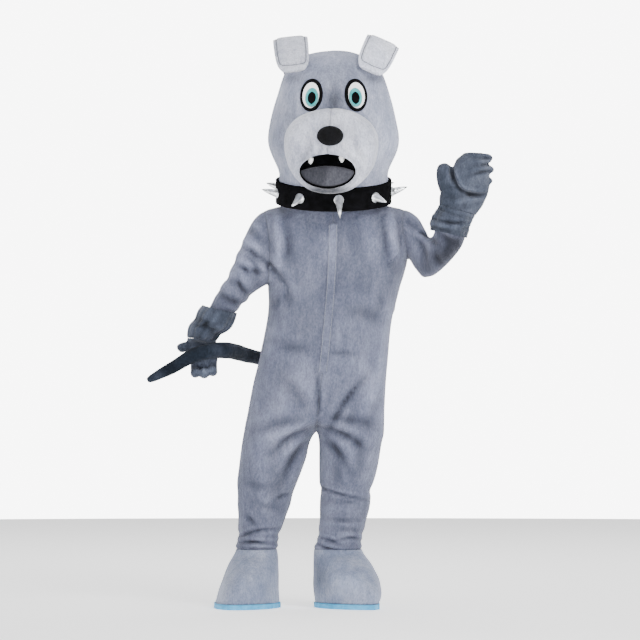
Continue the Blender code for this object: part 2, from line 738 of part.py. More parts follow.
def make_trunk(side, grids, normals):
    seat_row = len(CENTRE_HEIGHTS) + CROTCH_ROWS - 1
    made = {}
    for front, name in ((True, "front_panel_"), (False, "back_panel_")):
        points = pull_in(grids[front], ("last_column", "first_row", "last_row"))
        points[:seat_row + 1, 0, 0] += side * SEAM / 2
        points[seat_row:, 0, 1] += -SEAM / 2 if front else SEAM / 2
        made[front] = grid_wall(name + NAMES[side], points, normals[front], grey_plush())
    return made


# Sleeves, cuffs, gloves
def make_sleeve(side, trunk_rings):
    """A sleeve from the armhole seam to the wrist."""
    first = [armhole(side, 360 * column / SLEEVE_COLUMNS) for column in range(SLEEVE_COLUMNS)]
    points = np.concatenate([[first], limb_rings(SLEEVES[side], SLEEVE_COLUMNS)])
    normals = grid_normals(points, True)
    centre = points.mean(axis=1, keepdims=True)
    if np.sum((points - centre) * normals) < 0:
        normals = -normals
    normals[0] = unit(normals[0] + trunk_rings)
    made = grid_wall("sleeve_" + NAMES[side], points, normals, grey_plush(), ("first_row",), closed=True)
    return made, normals


def armhole_normals(normals):
    """Normals of the trunk along the armhole, from its top round the front to the back."""
    ring = []
    for column in range(SLEEVE_COLUMNS):
        if column <= ARMHOLE_ROWS:
            ring.append(normals[True][column, -1])
        else:
            ring.append(normals[False][SLEEVE_COLUMNS - column, -1])
    return np.array(ring)


def set_armhole_normals(normals, ring):
    for column in range(SLEEVE_COLUMNS):
        if column <= ARMHOLE_ROWS:
            normals[True][column, -1] = ring[column]
        if column >= ARMHOLE_ROWS or column == 0:
            normals[False][(SLEEVE_COLUMNS - column) % SLEEVE_COLUMNS, -1] = ring[column]


def make_cuff(side):
    rings = limb_rings(CUFFS[side], CUFF_COLUMNS, waves=CUFF_WAVES)
    normals = grid_normals(rings, True)
    centre = rings.mean(axis=1, keepdims=True)
    if np.sum((rings - centre) * normals) < 0:
        normals = -normals
    normals[-1] = level_with(rings[-1], normals[-1])
    return grid_wall("glove_cuff_" + NAMES[side], rings, normals, dark_plush(), ("last_row",), closed=True)


def finger_sections(radius, start, bend, tip, thinner=0.0):
    """Sections of one finger along a bent path, its tip rounded."""
    start, bend, tip = (np.array(point) for point in (start, bend, tip))
    sections = []
    for part, full in ((0.0, 1.0), (0.40, 1.0), (0.68, 1.02), (0.90, 0.90), (1.0, 0.45)):
        point = start * (1 - part) ** 2 + bend * 2 * part * (1 - part) + tip * part ** 2
        sections.append([*point, max(radius * full - thinner, 0.004)])
    last = tip + unit(np.array(sections[-2][:3]) - tip) * thinner
    sections[-1][:3] = last.tolist()
    return sections


def joined(name, pieces, operation):
    """The first object with the others joined to it or cut from it."""
    first = pieces[0]
    for other in pieces[1:]:
        change = first.modifiers.new(operation.lower(), "BOOLEAN")
        change.operation = operation
        change.object = other
        change.solver = "EXACT"
    graph = bpy.context.evaluated_depsgraph_get()
    mesh = bpy.data.meshes.new_from_object(first.evaluated_get(graph))
    mesh.name = name
    shape = bmesh.new()
    shape.from_mesh(mesh)
    bmesh.ops.remove_doubles(shape, verts=shape.verts, dist=MERGE)
    bmesh.ops.dissolve_degenerate(shape, edges=shape.edges, dist=MERGE)
    bmesh.ops.triangulate(shape, faces=shape.faces)
    shape.to_mesh(mesh)
    shape.free()
    made = bpy.data.objects.new(name, mesh)
    for piece in pieces:
        bpy.data.objects.remove(piece)
    COSTUME.objects.link(made)
    return made


def hand_shape(side, thinner, extend):
    """The palm, thumb and fingers of a glove as one closed shape."""
    rings = limb_rings(PALMS[side], SLEEVE_COLUMNS, thinner)
    if extend:
        rings[0] += unit(rings[0].mean(axis=0) - rings[1].mean(axis=0)) * extend
        rings[-1] += unit(rings[-2].mean(axis=0) - rings[-1].mean(axis=0)) * thinner
    kind = "inner" if thinner else "outer"
    palm = solid_tube(kind + "_palm", rings, dark_plush())
    pieces = [palm]
    for name, radius, start, bend, tip in FINGERS[side]:
        rings = tube_rings(finger_sections(radius, start, bend, tip, thinner), FINGER_SIDES, (0.0, -1.0, 0.2))
        pieces.append(solid_tube(kind + "_" + name, rings, dark_plush()))
    return joined(kind + "_hand", pieces, "UNION")


def make_glove(side):
    outer = hand_shape(side, 0.0, 0.0)
    inner = hand_shape(side, WALL, 0.004)
    made = joined("glove_hand_" + NAMES[side], [outer, inner], "DIFFERENCE")
    made.data.materials.clear()
    made.data.materials.append(dark_plush())
    return made


# Shoes
def shoe_ring(side, section):
    height, middle, half, front, back = section
    reach = TOE_OUT[side]
    ring = []
    columns = 2 * PANEL_COLUMNS
    for column in range(columns):
        turn = math.pi * (1 - column / PANEL_COLUMNS)
        y = -front * math.sin(turn) if math.sin(turn) >= 0 else -back * math.sin(turn)
        x = middle + side * half * math.cos(turn)
        if y < 0:
            x += reach * (y / 0.234) ** 2 * (0.5 if height > 0.1 else 0.75)
        ring.append((x, y, height + FLOOR))
    return np.array(ring)


def make_shoe(side, grids):
    """The plush cover from the leg's hem to the sole, and the sole under it."""
    hem = np.concatenate([grids[True][-1], grids[False][-1][-2:0:-1]])
    rings = [hem] + [shoe_ring(side, section) for section in SHOES[side]]
    points = np.array(rings)
    legs = np.concatenate([grids[True][-2], grids[False][-2][-2:0:-1]])
    normals = grid_normals(np.concatenate([[legs], points]), True)[1:]
    centre = points.mean(axis=1, keepdims=True)
    if np.sum((points - centre) * normals) < 0:
        normals = -normals
    normals[-1] = unit(normals[-1] * (1, 1, 0))
    cover = grid_wall("shoe_cover_" + NAMES[side], points, normals, pale_plush(), ("first_row",), closed=True)
    outline = points[-1] + unit((points[-1] - centre[-1]) * (1, 1, 0)) * SOLE_EDGE
    top = outline.copy()
    top[:, 2] = SOLE_THICKNESS + FLOOR
    low = outline.copy()
    low[:, 2] = FLOOR
    sole = solid_tube("shoe_sole_" + NAMES[side], np.array([top, low]), sole_foam())
    return cover, sole, normals[0]


# Tail
def make_tail(back_panels, place):
    """The stuffed tail; its root lies on the seat of the suit, round one point of the panel's grid."""
    rings = tube_rings(TAIL, TAIL_SIDES, (0.0, 0.0, 1.0))
    tree = surface_of(back_panels)
    roots = []
    for share in (0.06, 0.5, 1.0):
        root = []
        for column in range(TAIL_SIDES):
            angle = 2 * math.pi * column / TAIL_SIDES
            x = place[0] + TAIL[0][3] * share * math.sin(angle)
            z = place[2] + TAIL[0][3] * share * math.cos(angle)
            root.append(seat(tree, (x, place[1] + 0.1, z), (0.0, -1.0, 0.0)) + np.array((0.0, TAIL_CLEAR, 0.0)))
        roots.append(root)
    return solid_tube("tail", np.concatenate([roots, rings]), dark_plush())


# Collar
def collar_point(angle, inset, rise):
    turn = math.radians(angle)
    x = COLLAR_X + (COLLAR_HALF_WIDTH - inset) * math.sin(turn)
    y = -(COLLAR_HALF_DEPTH - inset) * math.cos(turn)
    return np.array((x, y, COLLAR_HEIGHT + FLOOR + rise + COLLAR_TILT * y))


def make_collar():
    section = ((0.0, -COLLAR_HALF_HEIGHT), (0.0, COLLAR_HALF_HEIGHT),
               (COLLAR_THICKNESS, COLLAR_HALF_HEIGHT), (COLLAR_THICKNESS, -COLLAR_HALF_HEIGHT))
    points = []
    for column in range(COLLAR_COLUMNS):
        angle = 360 * column / COLLAR_COLUMNS
        points += [collar_point(angle, inset, rise) for inset, rise in section]
    around = len(section)
    faces = []
    for column in range(COLLAR_COLUMNS):
        after = (column + 1) % COLLAR_COLUMNS
        for place in range(around):
            there = (place + 1) % around
            faces.append((column * around + place, after * around + place,
                          after * around + there, column * around + there))
    return new_object("collar_band", points, faces, black_cloth())


def make_spikes():
    step = 360 / COLLAR_COLUMNS
    for number in range(SPIKES):
        angle = SPIKE_FIRST + SPIKE_STEP * number
        low, high = (collar_point(angle + turn, 0.0, 0.0) for turn in (-step / 2, step / 2))
        up = unit(collar_point(angle - step / 2, 0.0, 0.01) - low)
        along = unit(high - low)
        out = unit(np.cross(along, up))
        middle = (low + high) / 2 + out * SEAM
        cosine = math.cos(math.radians(angle))
        front_share = cosine ** 2 if cosine > 0 else 0.25 * cosine ** 2
        droop = math.radians(SPIKE_DROOP_SIDE + (SPIKE_DROOP_FRONT - SPIKE_DROOP_SIDE) * front_share)
        level = unit(out * (1, 1, 0))
        aim = level * math.cos(droop) + np.array((0.0, 0.0, math.sin(droop)))
        points = []
        for distance, radius in ((0.0, SPIKE_RADIUS), (0.004, SPIKE_RADIUS), (0.005, SPIKE_RADIUS * 0.84)):
            for side in range(SPIKE_SIDES):
                turn = 2 * math.pi * side / SPIKE_SIDES
                points.append(middle + out * distance
                              + (along * math.cos(turn) + up * math.sin(turn)) * radius)
        points.append(middle + aim * SPIKE_LENGTH)
        faces = grid_faces(3, SPIKE_SIDES, True)
        faces.append(tuple(range(SPIKE_SIDES)))
        start = 2 * SPIKE_SIDES
        for side in range(SPIKE_SIDES):
            faces.append((start + side, start + (side + 1) % SPIKE_SIDES, len(points) - 1))
        new_object(f"spike_{number + 1}", points, faces, silver_cloth())


# Head
def head_point(angle, height):
    """A point of the head; angle 0 is the front and 90 the wearer's left."""
    turn = math.radians(angle)
    half = smooth_value(HEAD, 1, height)
    depth = smooth_value(HEAD, 2 if math.cos(turn) >= 0 else 3, height)
    x = half * math.sin(turn)
    y = -depth * math.cos(turn)
    fade = min(max((TILT_ENDS - height) / (TILT_ENDS - 1.500), 0.0), 1.0)
    return np.array((HEAD_X + x, y, height + FLOOR + COLLAR_TILT * y * fade))


def head_directions():
    """Angle and height of each grid point of the head, bent so that one block of cells fits the muzzle."""
    step = 360 / HEAD_COLUMNS
    rows = len(HEAD_ROWS)
    angles = np.array([[step * column if column <= HEAD_COLUMNS / 2 else step * column - 360
                        for column in range(HEAD_COLUMNS)] for row in range(rows)])
    heights = np.array([[height] * HEAD_COLUMNS for height in HEAD_ROWS])
    loop = muzzle_loop()
    fixed = np.zeros((rows, HEAD_COLUMNS), dtype=bool)
    moves = np.zeros((rows, HEAD_COLUMNS, 2))
    for number, (row, column) in enumerate(loop):
        turn = 2 * math.pi * number / len(loop)
        power = 1.0 if math.cos(turn) >= 0 else JOWL_SQUARE
        x = MUZZLE_CENTRE[0] + MUZZLE_HALF[0] * math.copysign(abs(math.sin(turn)) ** power, math.sin(turn))
        height = MUZZLE_CENTRE[1] + MUZZLE_HALF[1] * math.copysign(abs(math.cos(turn)) ** power, math.cos(turn))
        half = smooth_value(HEAD, 1, height)
        angle = math.degrees(math.asin((x - HEAD_X) / half))
        moves[row, column] = (angle - angles[row, column], height - heights[row, column])
        fixed[row, column] = True
    fixed[:2] = True
    fixed[-1] = True
    for column in range(FACE_COLUMNS, HEAD_COLUMNS - FACE_COLUMNS + 1):
        fixed[:, column] = True
    for _ in range(60):
        spread = moves.copy()
        spread[1:-1] = (moves[2:] + moves[:-2] + np.roll(moves, 1, axis=1)[1:-1]
                        + np.roll(moves, -1, axis=1)[1:-1]) / 4
        moves = np.where(fixed[:, :, None], moves, spread)
    return angles + moves[:, :, 0], heights + moves[:, :, 1]


def muzzle_loop():
    """Rows and columns round the muzzle's block of cells, from its top centre towards the left ear."""
    top, low, side = MUZZLE_LAST_ROW, MUZZLE_FIRST_ROW, MUZZLE_COLUMNS
    loop = [(top, column) for column in range(0, side)]
    loop += [(row, side) for row in range(top, low, -1)]
    loop += [(low, column) for column in range(side, -side, -1)]
    loop += [(row, -side) for row in range(low, top)]
    loop += [(top, column) for column in range(-side, 0)]
    return [(row, column % HEAD_COLUMNS) for row, column in loop]


def make_head():
    angles, heights = head_directions()
    rows = len(HEAD_ROWS)
    points = np.array([[head_point(angles[row, column], heights[row, column])
                        for column in range(HEAD_COLUMNS)] for row in range(rows)])
    crown = np.array([[head_point(360 * column / HEAD_COLUMNS, height)
                       for column in range(HEAD_COLUMNS)] for height in CROWN_ROWS])
    whole = np.concatenate([points, crown[1:]])
    normals = grid_normals(whole, True)
    centre = whole.mean(axis=(0, 1))
    if np.sum((whole - centre) * normals) < 0:
        normals = -normals
    face_range = [column % HEAD_COLUMNS for column in range(-FACE_COLUMNS, FACE_COLUMNS + 1)]
    left_out = {(row, column + FACE_COLUMNS) for row in range(MUZZLE_FIRST_ROW, MUZZLE_LAST_ROW)
                for column in range(-MUZZLE_COLUMNS, MUZZLE_COLUMNS)}
    face_points = points[:, face_range]
    face_points = pull_in(face_points, ("first_column", "last_column", "last_row"))
    made = {"face": grid_wall("face", face_points, normals[:rows, face_range], grey_plush(),
                              left_out=left_out)}
    middle = HEAD_COLUMNS // 2
    edges = ("first_column", "last_column", "last_row")
    for name, start, end in (("head_back_left", FACE_COLUMNS, middle),
                             ("head_back_right", middle, HEAD_COLUMNS - FACE_COLUMNS)):
        span = list(range(start, end + 1))
        made[name] = grid_wall(name, points[:, span], normals[:rows, span], grey_plush(), edges)
    outer = pull_in(crown, ("first_row",)).reshape(-1, 3)
    top = np.array([[HEAD_X, (crown[-1, 0, 1] + crown[-1, middle, 1]) / 2, CROWN_TOP + FLOOR]])
    faces = grid_faces(len(CROWN_ROWS), HEAD_COLUMNS, True)
    start = (len(CROWN_ROWS) - 1) * HEAD_COLUMNS
    for column in range(HEAD_COLUMNS):
        faces.append((start + column, start + (column + 1) % HEAD_COLUMNS, len(outer)))
    crown_normals = np.concatenate([normals[rows - 1:].reshape(-1, 3), [(0.0, 0.0, 1.0)]])
    made["crown"] = wall("crown", np.vstack([outer, top]), crown_normals, faces, grey_plush())
    loop = muzzle_loop()
    base = np.array([points[row, column] for row, column in loop])
    base_normals = np.array([normals[row, column] for row, column in loop])
    return made, base, base_normals


def make_muzzle(base, base_normals):
    """The muzzle as a left and a right half round the mouth."""
    count = len(base)
    turns = [2 * math.pi * number / count for number in range(count)]
    mouth = np.array([(MOUTH_CENTRE[0] + MOUTH_HALF[0] * math.sin(turn), MUZZLE_FRONT,
                       MOUTH_CENTRE[1] + MOUTH_HALF[1] * math.cos(turn) + FLOOR) for turn in turns])
    low = np.array([(0.0, 0.0, -math.sqrt(max(0.0, -math.cos(turn)))) for turn in turns])
    points = np.array([base + (mouth - base) * (inward, forward, inward) + low * drop
                       for inward, forward, drop in MUZZLE_SECTIONS])
    normals = grid_normals(points, True)
    middle = points[2].mean(axis=0)
    if np.sum((points[1:4] - middle) * normals[1:4]) < 0:
        normals = -normals
    normals[0] = unit(normals[0] + base_normals)
    lining, lining_normals = mouth_rings(points)
    normals[-1] = unit(normals[-1] + lining_normals[0])
    made = {}
    half = count // 2
    for name, span in (("muzzle_left", range(0, half + 1)), ("muzzle_right", range(half, count + 1))):
        columns = [column % count for column in span]
        made[name] = grid_wall(name, points[:, columns], normals[:, columns], pale_plush(),
                               ("first_column", "last_column", "first_row", "last_row"))
    return made, points, normals


def mouth_rings(points):
    """Rings of the mouth's lining from the lips back, and their normals, which face into the mouth."""
    edge = points[-1]
    centre = np.array((MOUTH_CENTRE[0], edge[:, 1].mean(), MOUTH_CENTRE[1] + FLOOR))
    rings = np.array([edge + (0.0, back, up) + (edge - centre) * (scale - 1, 0.0, scale - 1)
                      for scale, back, up in MOUTH_SECTIONS])
    normals = grid_normals(rings, True)
    if np.sum((rings - centre) * normals) > 0:
        normals = -normals
    return rings, normals


def make_mouth(points, lip_normals):
    """The dark lining behind the lips: its near side is the mouth's inside."""
    rings, normals = mouth_rings(points)
    normals[0] = lip_normals[-1]
    rows, columns = rings.shape[:2]
    outer = pull_in(rings, ("first_row",)).reshape(-1, 3)
    back = np.array([[MOUTH_CENTRE[0], rings[-1][:, 1].max() + 0.003, rings[-1][:, 2].mean()]])
    faces = grid_faces(rows, columns, True)
    for column in range(columns):
        faces.append(((rows - 1) * columns + column, (rows - 1) * columns + (column + 1) % columns, len(outer)))
    all_normals = np.concatenate([normals.reshape(-1, 3), [(0.0, -1.0, 0.0)]])
    wall("mouth_lining", np.vstack([outer, back]), all_normals, faces, black_cloth())
    return rings


def make_tongue(lining_rings):
    """A stuffed pad that lies in the lower half of the mouth."""
    rings = []
    for number in (2, 1, 0):
        ring = lining_rings[number]
        centre = ring.mean(axis=0)
        inward = unit((centre - ring) * (1, 0, 1))
        shaped = ring + inward * TONGUE_CLEAR
        top = TONGUE_TOP + FLOOR - TONGUE_ARCH * (shaped[:, 0] - centre[0]) ** 2
        shaped[:, 2] = np.minimum(shaped[:, 2], top)
        wide, tall = np.ptp(ring[:, 0]) / 2 - TONGUE_CLEAR, np.ptp(ring[:, 2]) / 2 - TONGUE_CLEAR
        drop = np.clip((shaped[:, 2] - centre[2]) / tall, -1.0, 1.0)
        limit = wide * np.sqrt(1 - drop ** 2)
        shaped[:, 0] = centre[0] + np.clip(shaped[:, 0] - centre[0], -limit, limit)
        rings.append(shaped)
    middle = rings[-1].mean(axis=0)
    rings[-1] = middle + (rings[-1] - middle) * (0.97, 1, 0.95)
    back = rings[0].mean(axis=0)
    rings.insert(0, back + (rings[0] - back) * (0.5, 1, 0.5))
    for scale, forward in ((0.80, 0.7), (0.40, 1.0)):
        rings.append(middle + (rings[3] - middle) * (scale, 1, scale) - (0.0, TONGUE_FRONT * forward, 0.0))
    return solid_tube("tongue", np.array(rings), material("grey_felt", (0.10, 0.10, 0.12), 0.9))


def raised_oval(name, tree, centre, half, toward, start, thickness, dome, made_of, sides=16, rings=2):
    """A closed oval piece that follows the surface under it, laid on it and raised by its thickness."""
    toward = unit(np.array(toward, dtype=float))
    across = unit(np.cross(toward, (0.0, 0.0, 1.0)))
    up = np.cross(across, toward)
    low = []
    high = []
    for ring in range(rings, -1, -1):
        count = sides if ring else 1
        share = ring / rings
        for number in range(count):
            turn = 2 * math.pi * number / sides
            place = np.array(centre) + across * half[0] * share * math.sin(turn)
            place = place + up * half[1] * share * math.cos(turn)
            on = seat(tree, place - toward * 0.3, toward)
            low.append(on - toward * (LAID_ON + start))
            raised = thickness + dome * math.sqrt(max(0.0, 1 - share ** 2))
            high.append(on - toward * (LAID_ON + start + raised))
    faces = grid_faces(rings, sides, True)
    last = (rings - 1) * sides
    for number in range(sides):
        faces.append((last + number, last + (number + 1) % sides, rings * sides))
    count = len(low)
    closed = list(faces)
    closed += [tuple(count + corner for corner in reversed(face)) for face in faces]
    for number in range(sides):
        after = (number + 1) % sides
        closed.append((after, number, count + number, count + after))
    return new_object(name, low + high, closed, made_of)


def make_eyes(face):
    tree = surface_of([face])
    looks = {"eye_rim": black_cloth, "eye_white": white_felt, "iris": teal_felt, "pupil": black_cloth}
    for side in (RIGHT, LEFT):
        for name, wide, tall, start, thickness, nasal, lower, sides, rings in PIECES_OF_AN_EYE:
            centre = (HEAD_X + side * (EYES_APART - nasal), -0.19, EYE_HEIGHT - lower + FLOOR)
            raised_oval(f"{name}_{NAMES[side]}", tree, centre, (wide, tall), (-side * 0.30, 1.0, -0.10),
                        start, thickness, 0.0, looks[name](), sides, rings)


def make_nose(muzzle_halves):
    tree = surface_of(muzzle_halves)
    centre = (NOSE_CENTRE[0], -0.33, NOSE_CENTRE[1] + FLOOR)
    raised_oval("nose", tree, centre, NOSE_HALF, (0.0, 1.0, -0.15), 0.0010, 0.006, NOSE_HEIGHT, black_cloth(),
                rings=4)


def make_fangs(lining_rings):
    """Two plain fangs that hang from the lining just behind the upper lip."""
    ring = lining_rings[1]
    for number, x in enumerate(FANGS):
        order = [point for point in ring if point[2] > MOUTH_CENTRE[1] + FLOOR]
        order.sort(key=lambda point: point[0])
        reach = [(order[n], order[n + 1]) for n in range(len(order) - 1)]
        roof = []
        for offset in (-FANG_RADIUS, 0.0, FANG_RADIUS):
            for low, high in reach:
                if low[0] <= x + offset <= high[0]:
                    share = (x + offset - low[0]) / (high[0] - low[0])
                    roof.append(low[2] + (high[2] - low[2]) * share)
        y = ring[:, 1].mean()
        top = min(roof) - 0.0012
        points = []
        for radius, drop in ((FANG_RADIUS * 0.9, 0.0), (FANG_RADIUS, 0.005), (FANG_RADIUS * 0.70, 0.017)):
            for side in range(10):
                turn = 2 * math.pi * side / 10
                points.append((x + radius * math.cos(turn), y + radius * math.sin(turn), top - drop))
        points.append((x, y, top - FANG_LENGTH))
        faces = grid_faces(3, 10, True)
        faces.append(tuple(range(10)))
        for side in range(10):
            faces.append((20 + side, 20 + (side + 1) % 10, 30))
        new_object(("fang_right", "fang_left")[number], points, faces, white_felt())


def make_ear(side, head_pieces):
    """A padded ear through flat rounded sections; its root lies on the head."""
    x, height, turn = EARS[side]
    turn = math.radians(turn) * side
    tree = surface_of(head_pieces)
    centres = np.array([(0.0, y, h) for y, h, half in EAR_SECTIONS])
    tangents = unit(np.gradient(centres, axis=0))
    rings = []
    for number, (y, h, half) in enumerate(EAR_SECTIONS):
        out = np.cross(tangents[number], (1.0, 0.0, 0.0))
        ring = []
        for place in range(EAR_SIDES):
            across = 1 - 4 * min(place, EAR_SIDES - place) / EAR_SIDES
            deep = math.sqrt(1 - across ** 4) * EAR_THICKNESS / 2
            if place > EAR_SIDES / 2:
                deep = -deep
            ring.append(centres[number] + np.array((across * half, 0.0, 0.0)) + out * deep)
        rings.append(ring)
    rings = np.array(rings)
    turned = rings.copy()
    turned[:, :, 0] = rings[:, :, 0] * math.cos(turn) + rings[:, :, 2] * math.sin(turn)
    turned[:, :, 2] = -rings[:, :, 0] * math.sin(turn) + rings[:, :, 2] * math.cos(turn)
    turned += np.array((x, 0.0, height + FLOOR))
    lowest = []
    for point in turned[0]:
        aim = np.array((-side * 0.35, 0.0, -1.0))
        lowest.append(seat(tree, point - unit(aim) * 0.05, unit(aim)) - unit(aim) * EAR_CLEAR)
    turned[0] = lowest
    return solid_tube("ear_" + NAMES[side], turned, pale_plush(), flat=True)


# Front placket
def make_placket(grids, normals):
    """A strip over the centre-front seam, from the row edges of both front panels."""
    first, last = PLACKET_ROWS
    columns = []
    for side in (RIGHT, LEFT):
        edge = grids[side][True]
        out = unit(edge[:, 1] - edge[:, 0])
        columns.append(edge[:, 0] + out * PLACKET_HALF_WIDTH)
    middle = grids[LEFT][True][:, 0]
    points = np.stack([columns[0], middle, columns[1]], axis=1)[first:last + 1]
    lift = np.stack([normals[RIGHT][True][:, 0], normals[LEFT][True][:, 0], normals[LEFT][True][:, 0]], axis=1)
    lift = lift[first:last + 1]
    raised = points + lift * (0.0008 + PLACKET_THICKNESS)
    return grid_wall("front_placket", raised, lift, grey_plush(), thickness=PLACKET_THICKNESS)


def make_costume():
    grids = {}
    normals = {}
    backs = []
    for side in (RIGHT, LEFT):
        grids[side] = trunk_half(side)
        normals[side] = trunk_normals(side, grids[side])
        _, sleeve_normals = make_sleeve(side, armhole_normals(normals[side]))
        set_armhole_normals(normals[side], sleeve_normals[0])
        _, _, hem_normals = make_shoe(side, grids[side])
        normals[side][True][-1] = hem_normals[:PANEL_COLUMNS + 1]
        back_hem = np.concatenate([hem_normals[PANEL_COLUMNS:], hem_normals[:1]])[::-1]
        normals[side][False][-1] = back_hem
        panels = make_trunk(side, grids[side], normals[side])
        backs.append(panels[False])
        make_cuff(side)
        make_glove(side)
    make_placket(grids, normals)
    make_tail(backs, grids[RIGHT][False][TAIL_ROW, TAIL_COLUMN])
    make_collar()
    make_spikes()
    head, base, base_normals = make_head()
    muzzle, muzzle_points, muzzle_normals = make_muzzle(base, base_normals)
    lining = make_mouth(muzzle_points, muzzle_normals)
    make_tongue(lining)
    make_fangs(lining)
    make_nose(list(muzzle.values()))
    make_eyes(head["face"])
    for side in (RIGHT, LEFT):
        make_ear(side, list(head.values()))


for old in list(bpy.data.objects):
    bpy.data.objects.remove(old)
COSTUME = bpy.data.collections.new("dog_mascot_costume")
bpy.context.scene.collection.children.link(COSTUME)
make_costume()
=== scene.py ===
# %% [markdown]
# # A dog mascot costume
# The real thing is a plush jumpsuit with gloves, shoes, a stuffed tail, a spiked collar and a big hollow head.
# The CAD model already holds every piece at its true size, as plain walls of cloth. This notebook dresses it: it
# copies those walls, closes and smooths them, lays the folds in, and gives each cloth its nap, its painted shade and
# light, and its stitches.

# %% Load the fixed frame
import math

import bmesh
import bpy
import numpy as np
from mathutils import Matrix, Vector
from mathutils.bvhtree import BVHTree
from mathutils.kdtree import KDTree


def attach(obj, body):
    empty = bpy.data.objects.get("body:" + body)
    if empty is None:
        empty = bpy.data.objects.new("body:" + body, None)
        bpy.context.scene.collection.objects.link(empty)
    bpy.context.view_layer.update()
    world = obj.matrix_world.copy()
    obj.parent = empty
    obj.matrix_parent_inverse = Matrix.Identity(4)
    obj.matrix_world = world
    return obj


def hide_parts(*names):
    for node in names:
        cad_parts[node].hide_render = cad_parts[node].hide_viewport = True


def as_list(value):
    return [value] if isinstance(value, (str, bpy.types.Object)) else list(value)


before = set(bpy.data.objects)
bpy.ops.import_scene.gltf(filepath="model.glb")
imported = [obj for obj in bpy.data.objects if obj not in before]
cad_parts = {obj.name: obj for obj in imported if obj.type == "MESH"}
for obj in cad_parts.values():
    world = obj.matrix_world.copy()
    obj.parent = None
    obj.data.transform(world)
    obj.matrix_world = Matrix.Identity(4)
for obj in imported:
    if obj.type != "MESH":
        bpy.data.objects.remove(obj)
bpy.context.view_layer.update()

# %% [markdown]
# ## Heights and sides
# The origin lies between the wearer's shoulders. Folds are easier to place by their height above the floor, so
# one value turns a height into a Z. Right and left are the wearer's.

# %% Shared values
FLOOR = -1.407
RIGHT = -1
LEFT = 1
NAMES = {RIGHT: "right", LEFT: "left"}

# %% [markdown]
# ## The camera
# The photograph is taken square on, from far away, so that 3.5 mm of the costume fill one pixel. A long lens at
# twenty metres gives the same flat view.

# %% Camera
CAMERA_AWAY = 20.0
VIEW_WIDTH = 2.24
VIEW_CENTRE = (-0.0525, -0.4025)
camera_data = bpy.data.cameras.new("camera")
camera_data.lens = camera_data.sensor_width * CAMERA_AWAY / VIEW_WIDTH
camera = bpy.data.objects.new("camera", camera_data)
camera.location = (VIEW_CENTRE[0], -CAMERA_AWAY, VIEW_CENTRE[1])
camera.rotation_euler = (math.radians(90), 0, 0)
bpy.context.scene.collection.objects.link(camera)
bpy.context.scene.camera = camera
print("lens", round(camera_data.lens, 1), "mm")


# %% [markdown]
# ## Closing the cloth
# Each CAD wall is a loose set of triangles with a thin rim where it meets its neighbour. Sewn cloth runs on
# across a seam, so the copies are merged and the rims that two walls share are taken out. What is left is one
# shell, open only at the neck, the hems and the wrists. Subdivision then rounds it without opening a seam.
# Building the panels again from curves would work too, but then they could drift away from the solids.

# %% Merge, close and smooth copies of the CAD walls
SEAM_REACH = 0.0007
SAME_POINT = 0.00002
OPPOSED = -0.7
JOIN_ANGLES = (42, 65)
SHARP_ANGLE = 60


def loose_copy(nodes):
    """A bmesh with copies of some nodes, each with its own material number, its own doubles merged."""
    whole = bmesh.new()
    for number, node in enumerate(nodes):
        single = bmesh.new()
        single.from_mesh(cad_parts[node].data)
        bmesh.ops.remove_doubles(single, verts=single.verts, dist=SAME_POINT)
        for face in single.faces:
            face.material_index = number
        mesh = bpy.data.meshes.new("copy")
        single.to_mesh(mesh)
        single.free()
        whole.from_mesh(mesh)
        bpy.data.meshes.remove(mesh)
    return whole


def node_tree(node):
    """A search tree of one CAD node's faces."""
    single = bmesh.new()
    single.from_mesh(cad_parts[node].data)
    tree = BVHTree.FromBMesh(single)
    single.free()
    return tree


def rim_faces(shape, nodes):
    """The faces that lie against another wall: close to it and looking straight at it."""
    trees = [node_tree(node) for node in nodes]
    rims = []
    for face in shape.faces:
        centre = face.calc_center_median()
        for number, tree in enumerate(trees):
            if number == face.material_index:
                continue
            _, normal, _, distance = tree.find_nearest(centre, SEAM_REACH)
            if distance is not None and normal.dot(face.normal) < OPPOSED:
                rims.append(face)
                break
    return rims


def close_seams(shape, nodes):
    """Takes out the rims that two walls share and merges the walls there."""
    shape.normal_update()
    rims = rim_faces(shape, nodes)
    bmesh.ops.delete(shape, geom=rims, context="FACES")
    borders = list(dict.fromkeys(vert for edge in shape.edges if len(edge.link_faces) == 1 for vert in edge.verts))
    bmesh.ops.remove_doubles(shape, verts=borders, dist=SEAM_REACH)
    gaps = [edge for edge in shape.edges if len(edge.link_faces) == 1]
    bmesh.ops.holes_fill(shape, edges=gaps, sides=12)
    shape.normal_update()
    still_open = sum(1 for edge in shape.edges if len(edge.link_faces) != 2)
    print(f"  {len(nodes)} walls merged, {len(rims)} rim faces out, {len(gaps)} open edges, then {still_open}")


def outward(points, normals, lines):
    """Each point's normal, turned to face away from the nearest of some middle lines."""
    best = np.full(len(points), 1e9)
    away = np.zeros_like(points)
    for x0, y0, h0, x1, y1, h1 in lines:
        start = np.array((x0, y0, h0 + FLOOR))
        run = np.array((x1, y1, h1 + FLOOR)) - start
        t = np.clip((points - start) @ run / (run @ run), 0.0, 1.0)
        offset = points - (start + t[:, None] * run)
        distance = np.linalg.norm(offset, axis=1)
        nearer = distance < best
        best[nearer] = distance[nearer]
        away[nearer] = offset[nearer]
    sign = np.where((away * normals).sum(axis=1) < 0, -1.0, 1.0)
    return normals * sign[:, None]


